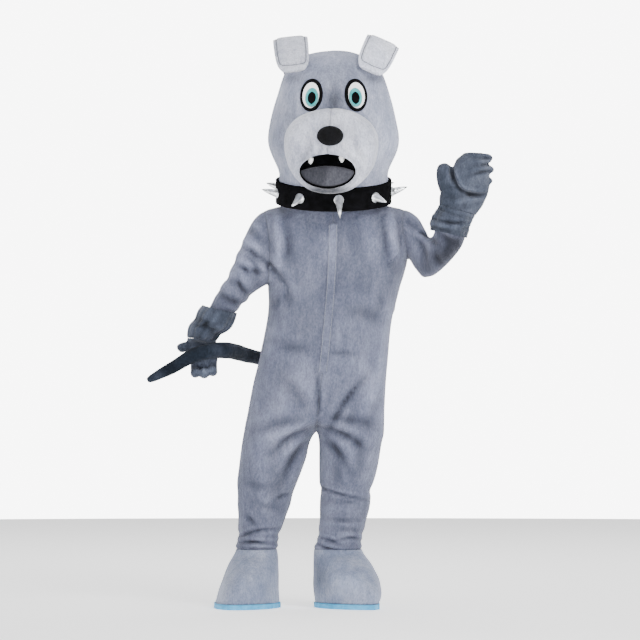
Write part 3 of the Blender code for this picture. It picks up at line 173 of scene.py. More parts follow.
def seam_chains(shape, lines):
    """The outer edges between two merged walls, as ordered chains of points with the two walls' numbers."""
    links = {}
    for edge in shape.edges:
        if len(edge.link_faces) != 2:
            continue
        pair = tuple(sorted(face.material_index for face in edge.link_faces))
        if pair[0] == pair[1]:
            continue
        middle = np.array([(edge.verts[0].co + edge.verts[1].co) / 2])
        facing = np.array([edge.verts[0].normal + edge.verts[1].normal])
        if (outward(middle, facing, lines) * facing).sum() > 0:
            links.setdefault(pair, []).append(edge)
    chains = []
    for pair, edges in links.items():
        left = dict.fromkeys(edges)
        while left:
            edge = next(iter(left))
            del left[edge]
            chain = list(edge.verts)
            for end in (0, -1):
                while following := next((other for other in chain[end].link_edges if other in left), None):
                    del left[following]
                    chain.insert(0 if end == 0 else len(chain), following.other_vert(chain[end]))
            chains.append((pair, np.array([tuple(vert.co) for vert in chain]),
                           np.array([tuple(vert.normal) for vert in chain])))
    return chains


def make_object(name, mesh):
    made = bpy.data.objects.new(name, mesh)
    bpy.context.scene.collection.objects.link(made)
    return made


def unit(vector):
    return vector / np.linalg.norm(vector)


def shade_smooth(made):
    for polygon in made.data.polygons:
        polygon.use_smooth = True


def evaluated(made):
    """Turns an object's modifiers into its mesh."""
    graph = bpy.context.evaluated_depsgraph_get()
    mesh = bpy.data.meshes.new_from_object(made.evaluated_get(graph))
    made.modifiers.clear()
    old = made.data
    made.data = mesh
    bpy.data.meshes.remove(old)
    return made


SEAMS = {}


def dressed_copy(name, nodes, levels=2, sharp=48.0, lines=None):
    """One smooth piece from copies of CAD nodes; edges sharper than the angle stay crisp."""
    shape = loose_copy(nodes)
    if len(nodes) > 1:
        close_seams(shape, nodes)
        SEAMS[name] = seam_chains(shape, lines)
    bmesh.ops.join_triangles(shape, faces=shape.faces, cmp_seam=False, cmp_sharp=False, cmp_uvs=False,
                             cmp_vcols=False, cmp_materials=True,
                             angle_face_threshold=math.radians(JOIN_ANGLES[0]),
                             angle_shape_threshold=math.radians(JOIN_ANGLES[1]))
    crease = shape.edges.layers.float.new("crease_edge")
    for edge in shape.edges:
        if len(edge.link_faces) == 2 and edge.calc_face_angle(0.0) > math.radians(sharp):
            edge[crease] = 1.0
    mesh = bpy.data.meshes.new(name)
    shape.to_mesh(mesh)
    shape.free()
    made = make_object(name, mesh)
    for _ in nodes:
        made.data.materials.append(None)
    rounder = made.modifiers.new("rounder", "SUBSURF")
    rounder.levels = levels
    rounder.render_levels = levels
    rounder.boundary_smooth = "ALL"
    evaluated(made)
    shade_smooth(made)
    made.data.set_sharp_from_angle(angle=math.radians(SHARP_ANGLE))
    print(name, len(made.data.polygons), "faces")
    return made


# %% [markdown]
# ## Folds
# Each fold is one row of a table: where it starts and ends in the front view, how far it bows, its width, and
# how deep it sinks or how high it stands. A fold round a limb goes all the way; one on the front or the back
# fades out towards the side seams. The long folds that the photograph shows come first, then like ones behind.
# All tables of folds are in millimetres, with heights over the floor. A negative depth sinks. Cloth that is pushed
# in one place stands up in the next, so a lower ridge runs on each side of a trough.

# %% Fold tables
BODY_FOLDS = (
    # side, x0, height0, x1, height1, bow, width, depth
    ("front", -203, 1372, -198, 1190, 4, 12, 6),
    ("front", -165, 1350, -160, 1220, 4, 16, -3.5),
    ("front", 191, 1410, 222, 1200, -6, 12, 6.5),
    ("front", 165, 1360, 178, 1220, 4, 16, -4.5),
    ("front", 95, 1380, 120, 1240, 4, 20, 3),
    ("front", -64, 830, -60, 640, 4, 7, -6),
    ("front", 113, 812, -15, 638, -8, 11, -7.5),
    ("front", -262, 1215, -165, 1105, 10, 15, -7),
    ("front", -240, 1130, -150, 1060, 8, 17, -4.5),
    ("front", 258, 1215, 160, 1090, -10, 15, -7),
    ("front", 235, 1120, 150, 1030, -8, 18, -4.5),
    ("front", -20, 893, 75, 884, 4, 11, -4.5),
    ("front", -100, 905, -210, 930, 6, 16, -4),
    ("front", 30, 1040, 170, 1000, 10, 22, -3.5),
    ("front", -180, 800, -110, 690, 10, 22, -4.5),
    ("front", 145, 770, 80, 650, -8, 18, 3.5),
    ("front", -70, 625, -215, 545, -16, 14, -8),
    ("front", -75, 605, -180, 450, -12, 15, -7),
    ("front", -100, 655, -260, 625, -12, 18, -5),
    ("front", -55, 625, 100, 560, 16, 14, -7.5),
    ("front", -50, 600, 50, 480, 10, 15, -6),
    ("front", -30, 655, 140, 640, 12, 18, -4.5),
    ("front", -270, 560, -250, 330, 10, 24, 3.5),
    ("front", -302, 438, -234, 425, -4, 12, -4),
    ("front", -205, 378, -165, 396, 2, 7, -5),
    ("front", -273, 366, -205, 352, -4, 11, -3.5),
    ("front", -310, 323, -284, 292, 3, 8, -5.5),
    ("front", -336, 247, -205, 276, 8, 6, -6),
    ("front", -318, 230, -245, 227, 2, 6, -7),
    ("front", -300, 210, -230, 206, -2, 6, -4),
    ("front", 84, 610, 86, 480, 3, 12, -3.5),
    ("front", 0, 520, 5, 430, 4, 17, -4),
    ("round", -45, 418, 96, 382, -4, 6, -7),
    ("front", 36, 374, 60, 371, 1, 6, -5),
    ("front", -30, 345, 60, 340, 6, 12, 3),
    ("front", -16, 311, 73, 306, -3, 7, -5),
    ("front", 10, 276, 85, 268, 3, 9, -3.5),
    ("front", 14, 236, 94, 236, 10, 6, -5.5),
    ("front", -46, 244, 5, 226, 2, 6, -5),
    ("front", -50, 218, 5, 200, -3, 6, -8),
    ("back", -185, 1370, -200, 1180, 10, 20, -5.5),
    ("back", 170, 1370, 205, 1170, -12, 20, -5.5),
    ("back", -215, 1060, 110, 1030, 16, 20, -7),
    ("back", -110, 990, 190, 1000, -12, 18, -6),
    ("back", -220, 930, -20, 965, 10, 18, -5),
    ("back", -300, 675, -90, 630, -18, 16, -8),
    ("back", 160, 680, -40, 630, -18, 16, -8),
    ("back", -90, 620, -240, 520, 12, 16, -6.5),
    ("back", -50, 620, 90, 510, 12, 16, -6.5),
    ("back", -340, 420, -160, 405, 8, 13, -7),
    ("back", -330, 370, -190, 385, 6, 13, -5.5),
    ("back", -60, 372, 120, 360, 6, 12, -6),
    ("back", -330, 300, -200, 285, 4, 12, -5),
    ("back", -50, 310, 100, 300, -4, 12, -5),
)
ARM_FOLDS = (
    # side, x0, height0, x1, height1, bow, width, depth
    ("round", -370, 1270, -235, 1200, 12, 11, -7),
    ("round", -375, 1225, -250, 1165, -10, 11, -6),
    ("front", -330, 1330, -265, 1290, 8, 13, -5),
    ("front", -322, 1230, -288, 1204, 4, 7, -5.5),
    ("front", -332, 1190, -300, 1160, 4, 7, -5.5),
    ("front", -300, 1250, -270, 1140, 8, 12, -5),
    ("round", -400, 1160, -300, 1090, 10, 11, -6.5),
    ("round", -425, 1120, -320, 1055, -8, 10, -5.5),
    ("front", -360, 1190, -330, 1120, 6, 11, -4.5),
    ("round", 262, 1345, 345, 1270, 10, 11, -7.5),
    ("front", 275, 1300, 315, 1200, 10, 12, -5.5),
    ("front", 288, 1348, 316, 1322, 4, 7, -5.5),
    ("front", 286, 1314, 322, 1290, 4, 7, -5.5),
    ("front", 330, 1255, 385, 1185, -6, 12, -5),
    ("front", 350, 1290, 430, 1235, 8, 12, -5.5),
    ("front", 345, 1320, 440, 1270, -6, 10, -4.5),
    ("back", 280, 1320, 330, 1200, 10, 13, -6),
    ("back", 330, 1260, 420, 1215, 8, 12, -5.5),
    ("back", -340, 1300, -260, 1210, 10, 13, -6),
    ("back", -385, 1170, -310, 1090, 8, 12, -5.5),
)
FOLD_GAIN = 1.35
FACING_SLOPE = 1.7
RIDGE_PLACE = 2.1
RIDGE_SHARES = (0.45, 0.30)
PAST_END = 0.03


def fold_height(points, facing, folds):
    """How far each point moves out for a table of folds. facing is each point's outward direction."""
    moved = np.zeros(len(points))
    front = np.clip(-facing[:, 1] * FACING_SLOPE, 0.0, 1.0)
    back = np.clip(facing[:, 1] * FACING_SLOPE, 0.0, 1.0)
    shares = {"front": front * front * (3 - 2 * front), "back": back * back * (3 - 2 * back),
              "round": 0.35 + 0.65 * np.maximum(front, back)}
    for side, *lengths in folds:
        x0, h0, x1, h1, bow, width, depth = (length / 1000 for length in lengths)
        start = np.array((x0, h0 + FLOOR))
        run = np.array((x1, h1 + FLOOR)) - start
        length = np.linalg.norm(run)
        along = run / length
        across = np.array((-along[1], along[0]))
        flat = points[:, (0, 2)] - start
        t = flat @ along / length
        inside = np.clip(t, 0.0, 1.0)
        away = flat @ across - bow * 4 * inside * (1 - inside)
        past = np.maximum(np.maximum(-t, t - 1.0), 0.0) * length
        taper = np.sqrt(np.sin(math.pi * np.clip(inside * 0.92 + 0.04, 0, 1)))
        if side == "round":
            taper = 0.75 + 0.25 * np.sin(9.0 * points[:, 1] / 0.1 + 40 * x0)
        shape = np.exp(-(away / width) ** 2)
        for way, share in zip((-1, 1), RIDGE_SHARES):
            shape -= share * np.exp(-((away + way * RIDGE_PLACE * width) / width) ** 2)
        moved += depth * shape * taper * np.exp(-(past / PAST_END) ** 2) * shares[side]
    return moved * FOLD_GAIN


def read_rows(items, name):
    rows = np.empty(len(items) * 3)
    items.foreach_get(name, rows)
    return rows.reshape(-1, 3)


def mesh_points(made):
    return read_rows(made.data.vertices, "co")


def mesh_normals(made):
    return read_rows(made.data.vertex_normals, "vector")


def set_points(made, points):
    made.data.vertices.foreach_set("co", points.reshape(-1))
    made.data.update()


def relax(made, centre, reach, rounds):
    """Evens out a piece near one place: each point moves towards the mean of its neighbours."""
    points = mesh_points(made)
    ends = np.empty(len(made.data.edges) * 2, dtype=int)
    made.data.edges.foreach_get("vertices", ends)
    one, two = ends.reshape(-1, 2).T
    links = np.bincount(ends, minlength=len(points))[:, None]
    away = np.linalg.norm(points - np.array(centre), axis=1)
    weight = 0.5 * np.clip(1.5 - away / reach, 0.0, 1.0)[:, None]
    for _ in range(rounds):
        total = np.zeros_like(points)
        np.add.at(total, one, points[two])
        np.add.at(total, two, points[one])
        points += weight * (total / links - points)
    set_points(made, points)


print(len(BODY_FOLDS), "folds on the body and", len(ARM_FOLDS), "on the sleeves")

# %% [markdown]
# ## Soft unevenness
# Worn plush is never dead smooth between its folds. A sum of a few slow waves in all three directions gives
# each surface small swells, the same on every run, and needs no random numbers.

# %% Slow swells
SWELLS = (
    # wave numbers along x, y and z, phase
    (23.0, 11.0, 9.0, 0.4),
    (-13.0, 19.0, 17.0, 1.9),
    (9.0, -17.0, 29.0, 3.1),
    (31.0, 23.0, -15.0, 4.4),
    (-37.0, 29.0, 21.0, 0.9),
)
SWELL_GAIN = 1.6


def swell(points, scale=1.0):
    """Values between about -1 and 1 that vary slowly over the points."""
    total = np.zeros(len(points))
    for kx, ky, kz, phase in SWELLS:
        total += np.sin((points * (kx, ky, kz)).sum(axis=1) * scale + phase)
    return total / len(SWELLS) * SWELL_GAIN


# %% [markdown]
# ## Seams
# Where two panels are sewn together the pile parts and the cloth dips a little. Each seam is a chain of points
# that was found while the walls were merged. It is resampled as a smooth line, pressed into the cloth as a
# shallow valley, and kept: the threads are laid along it later.

# %% Seam lines
SEAM_STEP = 0.004
RAY_START = 0.014
RAY_LENGTH = 0.045
LINES = []


def smooth_line(points, step=SEAM_STEP):
    """Evenly spaced points on a smooth line through some points, along with where each lies on the old line."""
    if len(points) == 2:
        count = max(2, int(np.linalg.norm(points[1] - points[0]) / step))
        shares = np.linspace(0, 1, count + 1)
        return points[0] + (points[1] - points[0]) * shares[:, None], shares
    padded = np.vstack([2 * points[0] - points[1], points, 2 * points[-1] - points[-2]])
    fine, places = [], []
    for number in range(1, len(padded) - 2):
        p0, p1, p2, p3 = padded[number - 1:number + 3]
        count = max(1, int(np.linalg.norm(p2 - p1) / step))
        for part in range(count):
            t = part / count
            fine.append(0.5 * (2 * p1 + (p2 - p0) * t + (2 * p0 - 5 * p1 + 4 * p2 - p3) * t ** 2
                               + (3 * p1 - p0 - 3 * p2 + p3) * t ** 3))
            places.append(number - 1 + t)
    fine.append(points[-1])
    places.append(len(points) - 1)
    return np.array(fine), np.array(places)


def valley(points, line, depth, width):
    """How far each point sinks towards a line: a shallow valley, below zero."""
    tree = KDTree(len(line))
    for number, point in enumerate(line):
        tree.insert(point, number)
    tree.balance()
    distance = np.array([tree.find(point)[2] for point in points])
    return -depth * np.exp(-(distance / width) ** 2)


def seam_valleys(made, depth=0.0022, width=0.0055):
    """Shallow valleys along a piece's seams."""
    lines = np.vstack([smooth_line(chain)[0] for _, chain, _ in SEAMS[made.name]])
    return valley(mesh_points(made), lines, depth, width)


def surface_tree(made):
    return BVHTree.FromPolygons([tuple(v) for v in mesh_points(made)],
                                [tuple(polygon.vertices) for polygon in made.data.polygons])


def lay_on(made, points, normals):
    """Moves the points of a line onto a piece's outer face."""
    tree = surface_tree(made)
    laid = []
    for point, normal in zip(points, normals):
        normal = Vector(normal).normalized()
        hit, _, _, _ = tree.ray_cast(Vector(point) + normal * RAY_START, -normal, RAY_LENGTH)
        if hit is None:
            hit, _, _, _ = tree.find_nearest(Vector(point))
        laid.append(tuple(hit))
    return np.array(laid)


def rows_at(rows, places):
    """Rows of a table, blended between neighbours at fractional places."""
    low = np.floor(places).astype(int)
    high = np.minimum(low + 1, len(rows) - 1)
    share = (places - low)[:, None]
    return rows[low] * (1 - share) + rows[high] * share


def keep_seams(made, kind):
    """Lays a piece's seam lines on its finished form and keeps them for the threads."""
    for _, chain, normals in SEAMS[made.name]:
        line, places = smooth_line(chain)
        if len(line) > 2:
            LINES.append((kind, lay_on(made, line, rows_at(normals, places))))


def lift(made, lines, folds, height, pace, hold=1.0, seams=None):
    """Raises a piece by its folds and swells, less where hold is low, and sinks its seams. Gives each rise."""
    points = mesh_points(made)
    facing = outward(points, mesh_normals(made), lines)
    rise = (fold_height(points, facing, folds) + height * swell(points, pace)) * hold
    if seams:
        rise += seam_valleys(made, *seams)
    set_points(made, points + facing * rise[:, None])
    return rise


def fade(heights, start, length):
    """0 up to a height, then up to 1 over some length. A negative length fades downwards."""
    return np.clip((heights - start) / length, 0.0, 1.0)


# %% [markdown]
# ## The jumpsuit
# Two fronts, two backs and two sleeves make the suit. Both faces of the cloth have to move together, so each
# point first learns which way is out: away from the nearest limb's middle line. Inner points then follow the
# same direction as the outer ones, and the wall keeps its thickness.

# %% Jumpsuit
LIMB_LINES = (
    # x, y, height, x, y, height
    (-0.010, 0.000, 1.400, -0.035, 0.000, 0.900),
    (-0.035, 0.000, 0.900, -0.065, 0.000, 0.690),
    (-0.200, 0.000, 0.560, -0.272, 0.000, 0.200),
    (0.055, 0.000, 0.560, 0.012, 0.000, 0.200),
    (-0.262, -0.001, 1.250, -0.320, -0.005, 1.160),
    (-0.320, -0.005, 1.160, -0.418, -0.018, 1.018),
    (0.262, -0.005, 1.300, 0.316, -0.070, 1.225),
    (0.316, -0.070, 1.225, 0.390, -0.165, 1.280),
    (0.390, -0.165, 1.280, 0.402, -0.187, 1.328),
)
BODY_MIDDLE = 0.003
SLEEVE_START = 0.235
ARMS_OVER = -0.45
HEM_HEIGHT = 0.205
NECK_START = -0.045
RELAXED = (
    # centre, reach, rounds: the raised elbow and its crook, both ankles, the left knee
    ((0.318, -0.075, 1.215 + FLOOR), 0.075, 14),
    ((0.345, -0.110, 1.290 + FLOOR), 0.050, 10),
    ((-0.272, 0.000, 0.235 + FLOOR), 0.090, 24),
    ((0.012, 0.000, 0.235 + FLOOR), 0.090, 24),
    ((0.030, 0.000, 0.405 + FLOOR), 0.100, 16),
)

suit = dressed_copy("suit_cloth", ["front_panel_right", "front_panel_left", "back_panel_right", "back_panel_left",
                                   "sleeve_right", "sleeve_left"], lines=LIMB_LINES)
for centre, reach, rounds in RELAXED:
    relax(suit, centre, reach, rounds)
points = mesh_points(suit)
facing = outward(points, mesh_normals(suit), LIMB_LINES)
in_sleeve = fade(np.abs(points[:, 0] - BODY_MIDDLE), SLEEVE_START, 0.02) * (points[:, 2] > ARMS_OVER)
rise = fold_height(points, facing, BODY_FOLDS) * (1 - in_sleeve)
rise += fold_height(points, facing, ARM_FOLDS) * in_sleeve
rise += 0.0018 * swell(points)
rise *= 1 - fade(points[:, 2], FLOOR + HEM_HEIGHT, -0.02)
rise *= 1 - 0.7 * fade(points[:, 2], NECK_START, 0.02)
rise += seam_valleys(suit)
set_points(suit, points + facing * rise[:, None])
# the rise is kept: it also gives painted shade in the folds and seams and painted highlights on the crests
RISES = {suit.name: rise}
keep_seams(suit, "seam")
print("folds from", round(rise.min() * 1000, 1), "to", round(rise.max() * 1000, 1), "mm")

# %% [markdown]
# ## Head
# The head is plush over a shell of foam, so it holds its round form with only a few shallow dents. Face, backs
# and crown are one shell here. The muzzle is a second, paler one, and the dark lining closes the mouth. The face
# and the crown are one cut of plush in the photograph, so no seam is sewn between them.

# %% Head, muzzle and mouth
HEAD_LINE = ((-0.005, 0.000, 1.450, -0.005, 0.000, 1.800),)
MUZZLE_LINE = ((-0.015, -0.120, 1.560, -0.015, -0.120, 1.660),)
HEAD_FOLDS = (
    # side, x0, height0, x1, height1, bow, width, depth
    ("front", -175, 1690, -190, 1560, 12, 14, -3.5),
    ("front", 170, 1690, 180, 1560, -12, 14, -3.5),
    ("front", -5, 1880, -5, 1780, 4, 12, -3),
    ("back", -150, 1600, 140, 1590, 10, 18, -4.5),
)
CROWN_SEAM = (0, 3)
HEAD_HEM = 0.13
head = dressed_copy("head_cloth", ["face", "head_back_left", "head_back_right", "crown"], lines=HEAD_LINE)
SEAMS[head.name] = [row for row in SEAMS[head.name] if row[0] != CROWN_SEAM]
lift(head, HEAD_LINE, HEAD_FOLDS, height=0.0012, pace=1.4, hold=fade(mesh_points(head)[:, 2], HEAD_HEM, 0.03),
     seams=(0.0018,))
keep_seams(head, "seam")

MUZZLE_FOLDS = (
    # side, x0, height0, x1, height1, bow, width, depth
    ("front", -85, 1640, -112, 1555, 10, 10, -3),
    ("front", 70, 1645, 100, 1560, -10, 10, -3),
    ("front", -50, 1590, -95, 1545, 6, 8, -2.5),
    ("front", 35, 1590, 75, 1545, -6, 8, -2.5),
)
MUZZLE_SEAM_END = 1.50
muzzle = dressed_copy("muzzle_cloth", ["muzzle_right", "muzzle_left"], lines=MUZZLE_LINE)
SEAMS[muzzle.name] = [row for row in SEAMS[muzzle.name] if row[1][:, 2].mean() > MUZZLE_SEAM_END + FLOOR]
# the muzzle's rise is kept for painted shade in its folds and seams
RISES[muzzle.name] = lift(muzzle, MUZZLE_LINE, MUZZLE_FOLDS, height=0.0010, pace=1.6,
                          seams=(0.0030, 0.007))
keep_seams(muzzle, "muzzle")
lining = dressed_copy("mouth_cloth", ["mouth_lining"])
tongue = dressed_copy("tongue_pad", ["tongue"], sharp=80.0)
nose = dressed_copy("nose_pad", ["nose"], sharp=65.0)
fangs = [dressed_copy(f"fang_felt_{name}", [f"fang_{name}"], sharp=70.0) for name in ("right", "left")]

# %% [markdown]
# ## Eyes
# Each eye is four flat ovals of felt and cloth, glued one on the other: rim, white, iris and pupil.

# %% Eyes
eyes = {}
for side in (RIGHT, LEFT):
    for layer in ("eye_rim", "eye_white", "iris", "pupil"):
        eyes[layer, side] = dressed_copy(f"{layer}_felt_{NAMES[side]}", [f"{layer}_{NAMES[side]}"])


def front_depths(tree, places):
    """Where a line from the front meets a surface, as a Y for each place in the front view."""
    depths = []
    for x, z in places:
        hit = tree.ray_cast(Vector((x, -1.0, z)), Vector((0.0, 1.0, 0.0)))[0]
        depths.append(hit.y if hit is not None else np.nan)
    return np.array(depths)


def draw_in(made, under, wide, tall):
    """Makes a felt oval smaller by some margins, and keeps its height over the oval under it."""
    points = mesh_points(made)
    centre = (points.min(axis=0) + points.max(axis=0)) / 2
    half = (points.max(axis=0) - points.min(axis=0)) / 2
    smaller = points.copy()
    smaller[:, 0] = centre[0] + (points[:, 0] - centre[0]) * (1 - wide / half[0])
    smaller[:, 2] = centre[2] + (points[:, 2] - centre[2]) * (1 - tall / half[2])
    tree = surface_tree(under)
    shift = front_depths(tree, smaller[:, (0, 2)]) - front_depths(tree, points[:, (0, 2)])
    smaller[:, 1] += np.nan_to_num(shift)
    set_points(made, smaller)


for side in (RIGHT, LEFT):
    draw_in(eyes["eye_white", side], eyes["eye_rim", side], 0.0035, 0.0040)

# %% [markdown]
# ## Ears, tail and collar
# The ears and the tail are stuffed, the collar is a padded band, and its spikes are soft cones of coated cloth.

# %% Ears, tail, collar and spikes
ears = {side: dressed_copy(f"ear_pad_{NAMES[side]}", [f"ear_{NAMES[side]}"], sharp=75.0) for side in (RIGHT, LEFT)}
tail = dressed_copy("tail_pad", ["tail"], sharp=65.0)
points = mesh_points(tail)
set_points(tail, points + mesh_normals(tail) * (0.0012 * swell(points, 2.2))[:, None])
collar = dressed_copy("collar_cloth", ["collar_band"])
spikes = [dressed_copy(f"spike_cone_{number}", [f"spike_{number}"], sharp=40.0) for number in range(1, 10)]

# %% [markdown]
# ## Gloves
# A glove has a gathered cuff and a hand. The cuff is a copy with finer gathers. The hand's CAD wall is a joined
# shape of flat facets, too uneven to subdivide, so the palm, thumb and fingers are made again as round tubes,
# melted together by a remesh, and opened at the wrist with a thin wall.

# %% Gloves
WRIST_WALL = 0.0025
WRIST_TRIM = 0.0006
VOXEL = 0.0035
TIP_START = 0.80
TIP_LENGTH = 0.205
PALMS = {
    RIGHT: (
        # upper x, upper height, lower x, lower height, y, half depth
        (-0.5176, 0.9452, -0.4168, 0.9372, -0.003, 0.0495),
        (-0.5180, 0.9427, -0.4165, 0.9347, 0.0003, 0.0495),
        (-0.5190, 0.9150, -0.4150, 0.9110, 0.024, 0.046),
        (-0.5145, 0.8830, -0.4095, 0.8820, 0.042, 0.040),
        (-0.5040, 0.8600, -0.4130, 0.8590, 0.045, 0.034),
        (-0.4900, 0.8400, -0.4270, 0.8390, 0.041, 0.024),
    ),
    LEFT: (
        # upper x, upper height, lower x, lower height, y, half depth
        (0.3604, 1.4010, 0.4862, 1.3655, -0.1924, 0.0555),
        (0.3605, 1.4038, 0.4865, 1.3683, -0.1922, 0.0555),
        (0.3610, 1.4300, 0.5110, 1.4000, -0.188, 0.050),
        (0.3680, 1.4560, 0.5270, 1.4350, -0.186, 0.046),
        (0.3950, 1.4830, 0.5350, 1.4690, -0.196, 0.053),
        (0.4030, 1.5250, 0.5360, 1.5130, -0.202, 0.056),
        (0.4200, 1.5620, 0.5290, 1.5560, -0.198, 0.050),
        (0.4480, 1.5850, 0.5110, 1.5840, -0.194, 0.032),
    ),
}
FINGERS = {
    RIGHT: (
        # name, radius, start, bend, tip
        ("thumb", 0.0175, (-0.4920, 0.018, 0.9080), (-0.5300, 0.004, 0.9180), (-0.5480, -0.008, 0.8990)),
        ("index", 0.0170, (-0.4880, 0.042, 0.8640), (-0.4900, 0.006, 0.7940), (-0.4880, -0.050, 0.8320)),
        ("middle", 0.0175, (-0.4580, 0.042, 0.8620), (-0.4580, 0.004, 0.7860), (-0.4570, -0.048, 0.8340)),
        ("little", 0.0165, (-0.4300, 0.042, 0.8660), (-0.4280, 0.006, 0.7980), (-0.4290, -0.042, 0.8400)),
    ),
    LEFT: (
        # name, radius, start, bend, tip
        ("thumb", 0.0290, (0.3960, -0.192, 1.4500), (0.3700, -0.208, 1.4900), (0.3830, -0.212, 1.5480)),
        ("index", 0.0190, (0.4900, -0.198, 1.5600), (0.5280, -0.196, 1.5690), (0.5370, -0.190, 1.5540)),
        ("middle", 0.0195, (0.5000, -0.202, 1.5200), (0.5340, -0.200, 1.5300), (0.5390, -0.194, 1.5140)),
        ("little", 0.0190, (0.4950, -0.198, 1.4800), (0.5280, -0.196, 1.4910), (0.5350, -0.190, 1.4760)),
    ),
}
GLOVE_GROOVES = {
    RIGHT: (
        # side, x0, height0, x1, height1, bow, width, depth
        ("front", -505, 925, -430, 905, 6, 8, -3.5),
        ("back", -475, 920, -474, 840, 2, 6, -3),
        ("back", -443, 920, -443, 840, -2, 6, -3),
    ),
    LEFT: (
        # side, x0, height0, x1, height1, bow, width, depth
        ("front", 402, 1534, 428, 1460, -6, 7, -8.5),
        ("front", 428, 1460, 522, 1440, -12, 7, -8.5),
        ("front", 479, 1507, 545, 1521, 4, 6, -6),
        ("front", 500, 1540, 549, 1541, 3, 6, -6),
        ("front", 505, 1565, 549, 1562, 2, 6, -4.5),
        ("front", 405, 1417, 500, 1432, -8, 9, 5),
        ("front", 445, 1400, 455, 1420, 2, 8, -4),
        ("back", 450, 1540, 530, 1540, 4, 7, -4),
        ("back", 450, 1500, 530, 1500, 4, 7, -4),
    ),
}


def tube_mesh(rings):
    """A closed tube through rings of points."""
    count = len(rings[0])
    verts = [tuple(point) for ring in rings for point in ring]
    faces = []
    for row in range(len(rings) - 1):
        for place in range(count):
            after = (place + 1) % count
            faces.append((row * count + place, row * count + after, (row + 1) * count + after,
                          (row + 1) * count + place))
    faces.append(tuple(reversed(range(count))))
    faces.append(tuple((len(rings) - 1) * count + place for place in range(count)))
    return verts, faces


def palm_rings(sections, count=40):
    rings = []
    for x0, h0, x1, h1, y, deep in sections:
        upper = np.array((x0, y, h0 + FLOOR))
        lower = np.array((x1, y, h1 + FLOOR))
        ring = []
        for place in range(count):
            turn = 2 * math.pi * place / count
            ring.append((upper + lower) / 2 + (upper - lower) / 2 * math.cos(turn)
                        + np.array((0.0, -deep * math.sin(turn), 0.0)))
        rings.append(ring)
    return rings


def finger_rings(radius, start, bend, tip, count=20, steps=14):
    """Rings along a bent finger with a round tip."""
    start, bend, tip = (np.array((p[0], p[1], p[2] + FLOOR)) for p in (start, bend, tip))
    rings = []
    first = np.array((0.0, -1.0, 0.2))
    for step in range(steps + 1):
        t = step / steps
        centre = start * (1 - t) ** 2 + bend * 2 * t * (1 - t) + tip * t ** 2
        along = 2 * (1 - t) * (bend - start) + 2 * t * (tip - bend)
        along = unit(along)
        first = unit(first - along * (first @ along))
        second = np.cross(along, first)
        full = radius * math.sqrt(max(0.03, 1 - max(0.0, (t - TIP_START) / TIP_LENGTH) ** 2))
        rings.append([centre + (first * math.cos(a) + second * math.sin(a)) * full
                      for a in (2 * math.pi * place / count for place in range(count))])
    return rings


def glove_hand(side):
    """The hand of one glove as a thin shell, open at the wrist."""
    verts, faces = [], []
    palm = palm_rings(PALMS[side])
    for rings in (palm, *(finger_rings(*row[1:]) for row in FINGERS[side])):
        tube_verts, tube_faces = tube_mesh(rings)
        faces += [tuple(len(verts) + corner for corner in face) for face in tube_faces]
        verts += tube_verts
    mesh = bpy.data.meshes.new("hand")
    mesh.from_pydata(verts, [], faces)
    shape = bmesh.new()
    shape.from_mesh(mesh)
    bmesh.ops.recalc_face_normals(shape, faces=shape.faces)
    shape.to_mesh(mesh)
    shape.free()
    made = make_object(f"glove_cloth_{NAMES[side]}", mesh)
    melt = made.modifiers.new("melt", "REMESH")
    melt.mode = "VOXEL"
    melt.voxel_size = VOXEL
    soften = made.modifiers.new("soften", "SMOOTH")
    soften.factor = 0.5
    soften.iterations = 6
    evaluated(made)
    points = mesh_points(made)
    normals = mesh_normals(made)
    rise = fold_height(points, normals, GLOVE_GROOVES[side]) + 0.0012 * swell(points, 2.5)
    set_points(made, points + normals * rise[:, None])
    first = palm[1]
    centre = np.mean(first, axis=0)
    past = centre - np.mean(palm[2], axis=0)
    level = unit(np.cross(first[0] - centre, first[10] - centre))
    level = level if level @ past > 0 else -level
    shape = bmesh.new()
    shape.from_mesh(made.data)
    bmesh.ops.bisect_plane(shape, geom=shape.verts[:] + shape.edges[:] + shape.faces[:],
                           plane_co=centre - level * WRIST_TRIM, plane_no=level, clear_outer=True)
    shape.to_mesh(made.data)
    shape.free()
    shell = made.modifiers.new("shell", "SOLIDIFY")
    shell.thickness = WRIST_WALL
    shell.offset = -1.0
    evaluated(made)
    shade_smooth(made)
    made.data.materials.append(None)
    # the grooves alone, kept for painted shade in them and painted highlights beside them
    RISES[made.name] = fold_height(mesh_points(made), mesh_normals(made), GLOVE_GROOVES[side])
    print(made.name, len(made.data.polygons), "faces")
    return made


hands = {side: glove_hand(side) for side in (RIGHT, LEFT)}
cuffs = {side: dressed_copy(f"cuff_cloth_{NAMES[side]}", [f"glove_cuff_{NAMES[side]}"]) for side in (RIGHT, LEFT)}
CUFF_AXES = {
    # side: x, y, height at the sleeve, x, y, height at the hand
    RIGHT: (-0.4180, -0.018, 1.018, -0.4670, -0.003, 0.940),
    LEFT: (0.4020, -0.187, 1.328, 0.4235, -0.192, 1.385),
}
CUFF_FOLDS = {
    RIGHT: (
        # side, x0, height0, x1, height1, bow, width, depth
        ("front", -490, 985, -425, 972, 4, 6, -5),
        ("front", -470, 1003, -400, 990, -4, 6, -4),
    ),
    LEFT: (
        # side, x0, height0, x1, height1, bow, width, depth
        ("round", 355, 1392, 462, 1358, -4, 5, -4.5),
        ("round", 338, 1357, 440, 1342, -6, 5, -5.5),
        ("round", 341, 1338, 450, 1334, -8, 6, 5),
        ("round", 355, 1323, 445, 1306, -4, 5, -5),
    ),
}
GATHERS = 13
GATHER_DEPTH = {RIGHT: 0.0034, LEFT: 0.0014}
ELASTIC_DEPTH = {RIGHT: 0.0050, LEFT: 0.0020}


